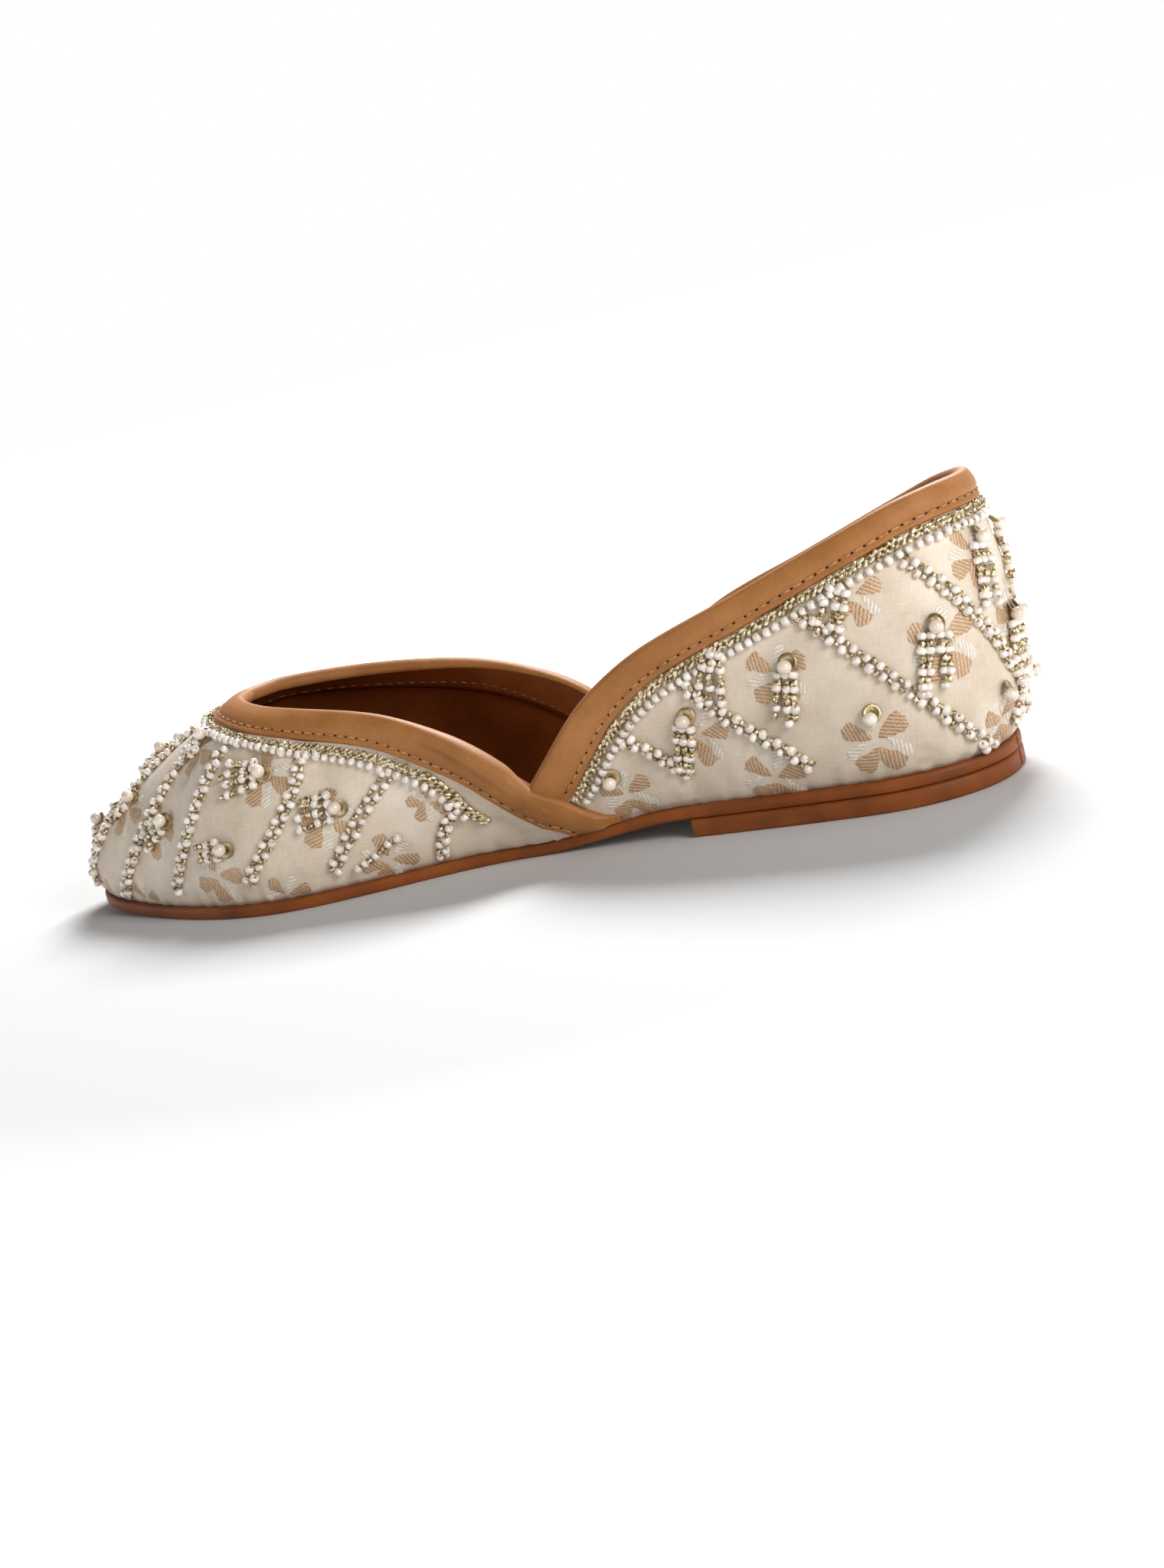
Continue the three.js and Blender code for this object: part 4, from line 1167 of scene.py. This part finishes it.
def border_places(path, rounds, trees, drift, last_round=0):
    """The border follows the cut edge, and drifts away from it by so much at its ends."""
    gold, white = [], []
    cut_edge = strip_width(rounds) + drift * (1 - smoothstep(rounds, 0.472, 0.525))
    for k, offset in enumerate(GOLD_ROWS):
        path_row = row_on_cloth(path, cut_edge + offset)
        line = evenly(softened(path_row, 2), GOLD_PITCH)
        whole = np.linspace(0, 1, len(rounds))
        room = np.where(rounds > last_round, white_row(rounds) - offset, 0)
        room = np.interp(np.linspace(0, 1, len(line)), whole, room)
        for point, along, free in zip(line, unit(np.gradient(line, axis=0)), room):
            place, out = nearest(cloth_tree, point)
            place = place + out * (0.75 if k % 2 else 0.6)
            if free > 1.15 and not covered(place, trees, 0.9, SOLE_CLEAR):
                lean = 0.9 if k % 2 else 0.45
                aslant = unit(along + (lean + rng.normal(0, 0.2)) * np.cross(out, along))
                gold.append((place, out, aslant, np.array(GOLD_TUBE) * rng.uniform(0.8, 1.15)))
    inner = rounds > last_round + 0.008
    line = row_on_cloth(path[inner], (cut_edge + white_row(rounds))[inner])
    line = evenly(softened(line, 2), WHITE_PITCH)
    for point, along in zip(line, unit(np.gradient(line, axis=0))):
        place, out = nearest(cloth_tree, point + rng.normal(0, 0.08, 3))
        place = place + out * 0.85
        if not covered(place, trees, 0.9, SOLE_CLEAR):
            white.append((place, out, along, np.full(3, WHITE_BEAD) * rng.uniform(0.86, 1.08)))
    return gold, white


vamp_gold, vamp_white = border_places(vamp_path, vamp_rounds, [vamp_strip_tree], 5, 0.474)
heel_gold, heel_white = border_places(quarter_path, quarter_rounds, [vamp_strip_tree], 0)
set_shapes("vamp_border_cut_beads", vamp_gold, cut_tube, gold_glass_painted_glints_and_shade, "brocade", 0.3)
set_shapes("heel_border_cut_beads", heel_gold, cut_tube, gold_glass_painted_glints_and_shade, "brocade", 0.3)
set_shapes("border_white_beads", vamp_white + heel_white, seed_bead, pearl_glass, "brocade", 0.2)


# %% [markdown]
# The ropes are two strands side by side. Along each strand a white bead and a smaller gold one
# take turns, and the second strand starts with the other colour, so the rope looks twisted.

# %% Ropes of beads
ROPE_PITCH = 1.72
ROPE_START = 4.6
GOLD_BEAD = 1.5
GOLD_CUT = (1.5, 1.15, 1.15)


def rope_places(turn, rise, trees):
    line = evenly(on_face(turn, rise), ROPE_PITCH)
    run = unit(softened(np.gradient(line, axis=0), 2))
    white, gold = [], []
    for k, (point, along) in enumerate(zip(line, run)):
        for strand in (0, 1):
            is_white = (k + strand) % 2 == 0
            size = WHITE_BEAD if is_white else GOLD_BEAD
            _, out = nearest(cloth_tree, point)
            side = np.cross(out, along) * (strand - 0.5) * 2 * 0.92
            place, out = nearest(cloth_tree, point + side + rng.normal(0, 0.12, 3))
            place = place + out * (0.8 if is_white else 0.65)
            if covered(place, trees, ROPE_START):
                continue
            form = (size,) * 3 if is_white else GOLD_CUT
            row = (place, out, along, np.array(form) * rng.uniform(0.86, 1.1))
            (white if is_white else gold).append(row)
    return white, gold


strips = [vamp_strip_tree, quarter_strip_tree]
rope_white, rope_gold = [], []
for side in (1, -1):
    for k in range(len(ROPES["bow"])):
        white, gold = rope_places(*rope_line(k, side), strips)
        rope_white += white
        rope_gold += gold
set_shapes("rope_white_beads", rope_white, seed_bead, pearl_glass, "brocade", 0.5)
set_shapes("rope_gold_beads", rope_gold, cut_tube, gold_glass_painted_glints_and_shade, "brocade", 0.9)


# %% [markdown]
# Between the ropes sit clusters. Each has a cream pearl on a tilted sequin, and three or four
# strands that fall from it over a woven flower. "heading" is the way the strands fall, in degrees
# from straight down the cloth towards the toe.

# %% Clusters on the cloth
CLUSTERS = {
    "round": (0.632, 0.584, 0.66, 0.731, 0.697, 0.806, 0.548, 0.845, 0.345, 0.405, 0.262, 0.317, 0.214, 0.2,
              0.135, 0.054, 0.048, 0.94, 0.01),
    "rise": (0.64, 0.46, 0.27, 0.36, 0.76, 0.54, 0.26, 0.9, 0.54, 0.37, 0.62, 0.82, 0.82, 0.33,
             0.58, 0.27, 0.8, 0.6, 0.52),
    "heading": (84, 80, 86, 64, 78, 62, 58, 72, 14, 0, 8, 18, 24, 0,
                4, 0, 6, 58, 0),
    "strands": (4, 4, 3, 3, 4, 3, 1, 3, 3, 0, 3, 3, 3, 0,
                4, 0, 3, 3, 3),
    "length": (9.5, 9, 7.5, 8, 9, 8, 13, 8, 12, 0, 12, 11, 9, 0,
               13, 0, 13, 9, 13),
    "pearl": (1, 1, 1, 1, 1, 1, 0, 1, 1, 1, 1, 0, 0, 1,
              1, 1, 1, 1, 1),
}
PEARL = 3.3
SEQUIN = 4.3
STRAND = "wgwggwgw"
STRAND_APART = 1.85
STRAND_STEP = {"w": 1.85, "g": 1.3}


def down_and_ahead(turn, rise):
    down = bare(turn, max(rise - 0.02, 0)) - bare(turn, rise)
    out = facing(turn, rise)
    down = unit(down)
    ahead = np.cross(down, out)
    return down, ahead * np.sign(ahead[0]), out


def cluster_places(k, side):
    """Pearl, sequin and beads of one cluster, as rows for each kind."""
    turn, rise = np.array(side * CLUSTERS["round"][k]), CLUSTERS["rise"][k]
    down, ahead, _ = down_and_ahead(turn, rise)
    angle = math.radians(CLUSTERS["heading"][k])
    fall = unit(math.cos(angle) * down + math.sin(angle) * ahead)
    head, out = nearest(cloth_tree, on_face(turn, rise))
    across = np.cross(out, fall)
    rows = {"pearl": [], "sequin": [], "w": [], "g": []}
    if CLUSTERS["pearl"][k]:
        tilt = unit(out - 0.45 * fall + 0.3 * across)
        rows["sequin"].append((head + out * 1.0 - fall * 0.5 + across * 0.3, tilt, fall, (SEQUIN,) * 3))
        rows["pearl"].append((head + out * 2.2 + fall * 0.35, out, across, (PEARL,) * 3))
    count = CLUSTERS["strands"][k]
    for strand in range(count):
        place = (strand - (count - 1) / 2) * STRAND_APART
        spread = unit(fall + across * place * 0.03 + across * rng.normal(0, 0.07))
        start = head + across * place + fall * (2.1 if CLUSTERS["pearl"][k] else 0.4)
        length = CLUSTERS["length"][k] * rng.uniform(0.78, 1.08)
        gone = 0.0
        for kind in STRAND * 2:
            if gone > length:
                break
            spot, up = walk(cloth_tree, start, spread, [gone + 0.01])[0]
            lift = 0.85 if kind == "w" else 0.7
            along = unit(spread - up * (spread @ up))
            size = (WHITE_BEAD if kind == "w" else GOLD_BEAD) * rng.uniform(0.92, 1.06)
            jitter = across * rng.normal(0, 0.15)
            row = (spot + up * (lift + rng.uniform(0, 0.7)) + jitter, up, along, (size,) * 3)
            if not covered(row[0], strips, 0.8):
                rows[kind].append(row)
            gone += STRAND_STEP[kind]
    return rows


cluster_rows = {"pearl": [], "sequin": [], "w": [], "g": []}
for side in (1, -1):
    for k in range(len(CLUSTERS["round"])):
        for kind, rows in cluster_places(k, side).items():
            cluster_rows[kind] += rows
set_shapes("cluster_pearls", cluster_rows["pearl"], ball, cream_pearl, "brocade")
set_shapes("cluster_sequins", cluster_rows["sequin"], sequin, sequin_film, "brocade")
set_shapes("cluster_white_beads", cluster_rows["w"], seed_bead, pearl_glass, "brocade", 0.35)
set_shapes("cluster_gold_beads", cluster_rows["g"], cut_tube, gold_glass_painted_glints_and_shade, "brocade", 0.5)

# %% [markdown]
# Each woven flower has petals of rose-gold and of white thread. The petals are charted once, in
# millimetres about the flower's middle, and the chart is turned and scaled for each flower.

# %% Woven flowers
PETALS = {
    "angle": (32, 158, 248, 296, 88, 205, 338),
    "reach": (4.0, 3.8, 4.4, 4.5, 4.0, 4.4, 4.6),
    "long": (6.6, 6.0, 6.8, 7.0, 4.8, 5.2, 6.2),
    "wide": (5.4, 5.0, 5.2, 5.6, 2.8, 2.8, 3.2),
    "turn": (32, 158, 225, 318, 75, 222, 318),
    "white": (0, 0, 0, 0, 1, 1, 1),
}
FLOWERS = {
    "round": (0.398, 0.29, 0.272, 0.199, 0.127, 0.053, 0.066, 0.203, 0.338, 0.63, 0.59, 0.672, 0.622, 0.745,
              0.873, 0.556, 0.53, 0.7, 0.81, 0.93, 0.78, 0.01),
    "rise": (0.2, 0.1, 0.6, 0.22, 0.52, 0.15, 0.76, 0.78, 0.42, 0.63, 0.4, 0.15, 0.02, 0.33,
             0.07, 0.12, 0.5, 0.7, 0.5, 0.45, 0.03, 0.5),
    "heading": (0, 20, 10, 0, 0, -10, 30, 15, 25, 60, 65, 40, 30, 40,
                20, 50, 60, 70, 50, 30, 20, 0),
    "size": (1, 1.1, 1.05, 1.15, 1.2, 1, 1, 0.9, 1, 1.05, 1.05, 1.05, 0.9, 1,
             0.9, 1, 0.7, 1, 1, 1, 0.8, 1),
}


def petal_patch(centre, out, down, across, k, size):
    """A petal's points on the cloth and their places on its thread map."""
    angle, turn = math.radians(PETALS["angle"][k]), math.radians(PETALS["turn"][k])
    middle = PETALS["reach"][k] * np.array([math.cos(angle), math.sin(angle)]) * size
    length, width = PETALS["long"][k] * size / 2, PETALS["wide"][k] * size / 2
    points, chart = [], []
    for t in np.linspace(-1, 1, 11):
        swell = math.sqrt(max(1 - t**4, 0)) * (0.62 + 0.38 * t)
        ragged = 1 + rng.uniform(-0.12, 0.12)
        for s in np.linspace(-1, 1, 5):
            x, y = t * length * (1 + 0.05 * rng.uniform(-1, 1)), s * width * swell * ragged
            plan = middle + [x * math.cos(turn) - y * math.sin(turn), x * math.sin(turn) + y * math.cos(turn)]
            place = centre + across * plan[0] - down * plan[1]
            spot, normal = nearest(cloth_tree, place)
            points.append(spot + normal * (0.16 - 0.1 * abs(s) ** 3))
            chart.append((x, y))
    return points, chart


def weave_flowers(name, material, white):
    points, chart, faces = [], [], []
    for side in (1, -1):
        for k in range(len(FLOWERS["round"])):
            turn, rise = np.array(side * FLOWERS["round"][k]), FLOWERS["rise"][k]
            down, ahead, _ = down_and_ahead(turn, rise)
            angle = math.radians(FLOWERS["heading"][k])
            fall = unit(math.cos(angle) * down + math.sin(angle) * ahead)
            centre, out = nearest(cloth_tree, on_face(turn, rise))
            across = np.cross(out, fall)
            for petal in range(len(PETALS["angle"])):
                if PETALS["white"][petal] != white:
                    continue
                spots, places = petal_patch(centre, out, fall, across, petal, FLOWERS["size"][k])
                if covered(spots[len(spots) // 2], [vamp_strip_tree], 1.2, 0):
                    continue
                first = len(points)
                faces += [tuple(first + c for c in face) for face in grid_faces(11, 5)]
                points += spots
                chart += places
    made = finished(name, placed(np.array(points)), faces, [material])
    set_map(made, "petal", np.array(chart) * mm)
    face_outwards(made)
    hand_over(made, "brocade")


def face_outwards(made):
    """Turns the patches' faces away from the cloth."""
    mesh = made.data
    turned = []
    for face in mesh.polygons:
        centre = np.array(face.center)
        on_last = (centre - frame_middle) / mm + sole_middle
        _, out = nearest(cloth_tree, on_last)
        turned.append(np.array(face.normal) @ out < 0)
    if sum(turned) > len(turned) / 2:
        mesh.flip_normals()


weave_flowers("woven_flowers_rose_gold", rose_zari, 0)
weave_flowers("woven_flowers_white", white_float, 1)

for shape in (seed_bead, cut_tube, ball, sequin):
    bpy.data.objects.remove(shape)

# %% [markdown]
# The camera stands where the photograph was taken from, at the shoe's heel end and a little above
# it, and is rolled as the photograph is. The light is that of a white studio: a white surround, a
# large lamp from the heel side and a soft one overhead.

# %% Camera
AZIMUTH = 206.22
ELEVATION = 11.08
ROLL = -13.96
DISTANCE = 0.5778
AIM = (-0.0126, -0.0045, 0.0104)
FOCAL_LENGTH = 54.42
SENSOR = 36


def place_camera():
    data = bpy.data.cameras.new("studio camera")
    data.lens, data.sensor_width = FOCAL_LENGTH, SENSOR
    data.clip_start, data.clip_end = 0.01, 100
    camera = bpy.data.objects.new("studio camera", data)
    bpy.context.scene.collection.objects.link(camera)
    a, e, r = (math.radians(value) for value in (AZIMUTH, ELEVATION, ROLL))
    back = Vector((math.sin(a) * math.cos(e), -math.cos(a) * math.cos(e), math.sin(e)))
    right = Vector((0, 0, 1)).cross(back).normalized()
    up = back.cross(right)
    rolled_right = math.cos(r) * right + math.sin(r) * up
    rolled_up = -math.sin(r) * right + math.cos(r) * up
    turn = Matrix((rolled_right, rolled_up, back)).transposed()
    camera.matrix_world = Matrix.Translation(Vector(AIM) + back * DISTANCE) @ turn.to_4x4()
    bpy.context.scene.camera = camera
    print("camera at", [round(value, 3) for value in camera.location])


place_camera()


# %% Lamps
LAMPS = {
    "name": ("heel side softbox", "overhead softbox"),
    "place": ((-0.85, 0.5, 0.5), (0.05, -0.75, 0.85)),
    "size": (0.4, 0.5),
    "watts": (6.5, 21),
}


def light_studio():
    for name, place, size, watts in zip(*LAMPS.values()):
        data = bpy.data.lights.new(name, "AREA")
        data.energy, data.size, data.shape = watts, size, "SQUARE"
        lamp = bpy.data.objects.new(name, data)
        lamp.location = place
        lamp.rotation_mode = "QUATERNION"
        lamp.rotation_quaternion = (-Vector(place)).to_track_quat("-Z", "Y")
        bpy.context.scene.collection.objects.link(lamp)
    bpy.context.scene.view_settings.view_transform = "Standard"


def surround():
    """A white wall all round up to eye level, and a darker ceiling, so that forms keep their shade."""
    world = bpy.data.worlds.new("white wall, grey ceiling")
    world.use_nodes = True
    tree = world.node_tree
    up = node(tree, "ShaderNodeSeparateXYZ", {0: node(tree, "ShaderNodeTexCoord").outputs["Generated"]})
    height = node(tree, "ShaderNodeMapRange", {
        "Value": up.outputs["Z"], "From Min": 0.17, "From Max": 0.49, "To Min": 1.0, "To Max": 0.1,
    }).outputs[0]
    tree.links.new(height, tree.nodes["Background"].inputs["Strength"])
    tree.nodes["Background"].inputs["Color"].default_value = (1, 1, 1, 1)
    bpy.context.scene.world = world


light_studio()
surround()


# %% Floor
def lay_floor(reach=30):
    """White paper that glows by its own emission, more and more further off, so that it ends in white: a painted
    glow, not a lamp.
    """
    paper, tree, shader = new_material("white studio paper, matt, painted glow further off", Base_Color=(0.66, 0.66, 0.66, 1), Roughness=0.9)
    place = node(tree, "ShaderNodeTexCoord").outputs["Object"]
    far = node(tree, "ShaderNodeVectorMath", {0: place}, operation="LENGTH").outputs["Value"]
    # The glow is painted light: emission that rises from almost none near the shoe to full white further off.
    glow = node(tree, "ShaderNodeMapRange", {
        "Value": far, "From Min": 0.17, "From Max": 0.4, "To Min": 0.01, "To Max": 1.0,
    }).outputs[0]
    shader.inputs["Emission Color"].default_value = (1, 1, 1, 1)
    tree.links.new(glow, shader.inputs["Emission Strength"])
    corners = np.array([(-reach, -reach, 0), (reach, -reach, 0), (reach, reach, 0), (-reach, reach, 0)])
    floor = finished("studio_floor", corners, [(0, 1, 2, 3)], [paper])


lay_floor()
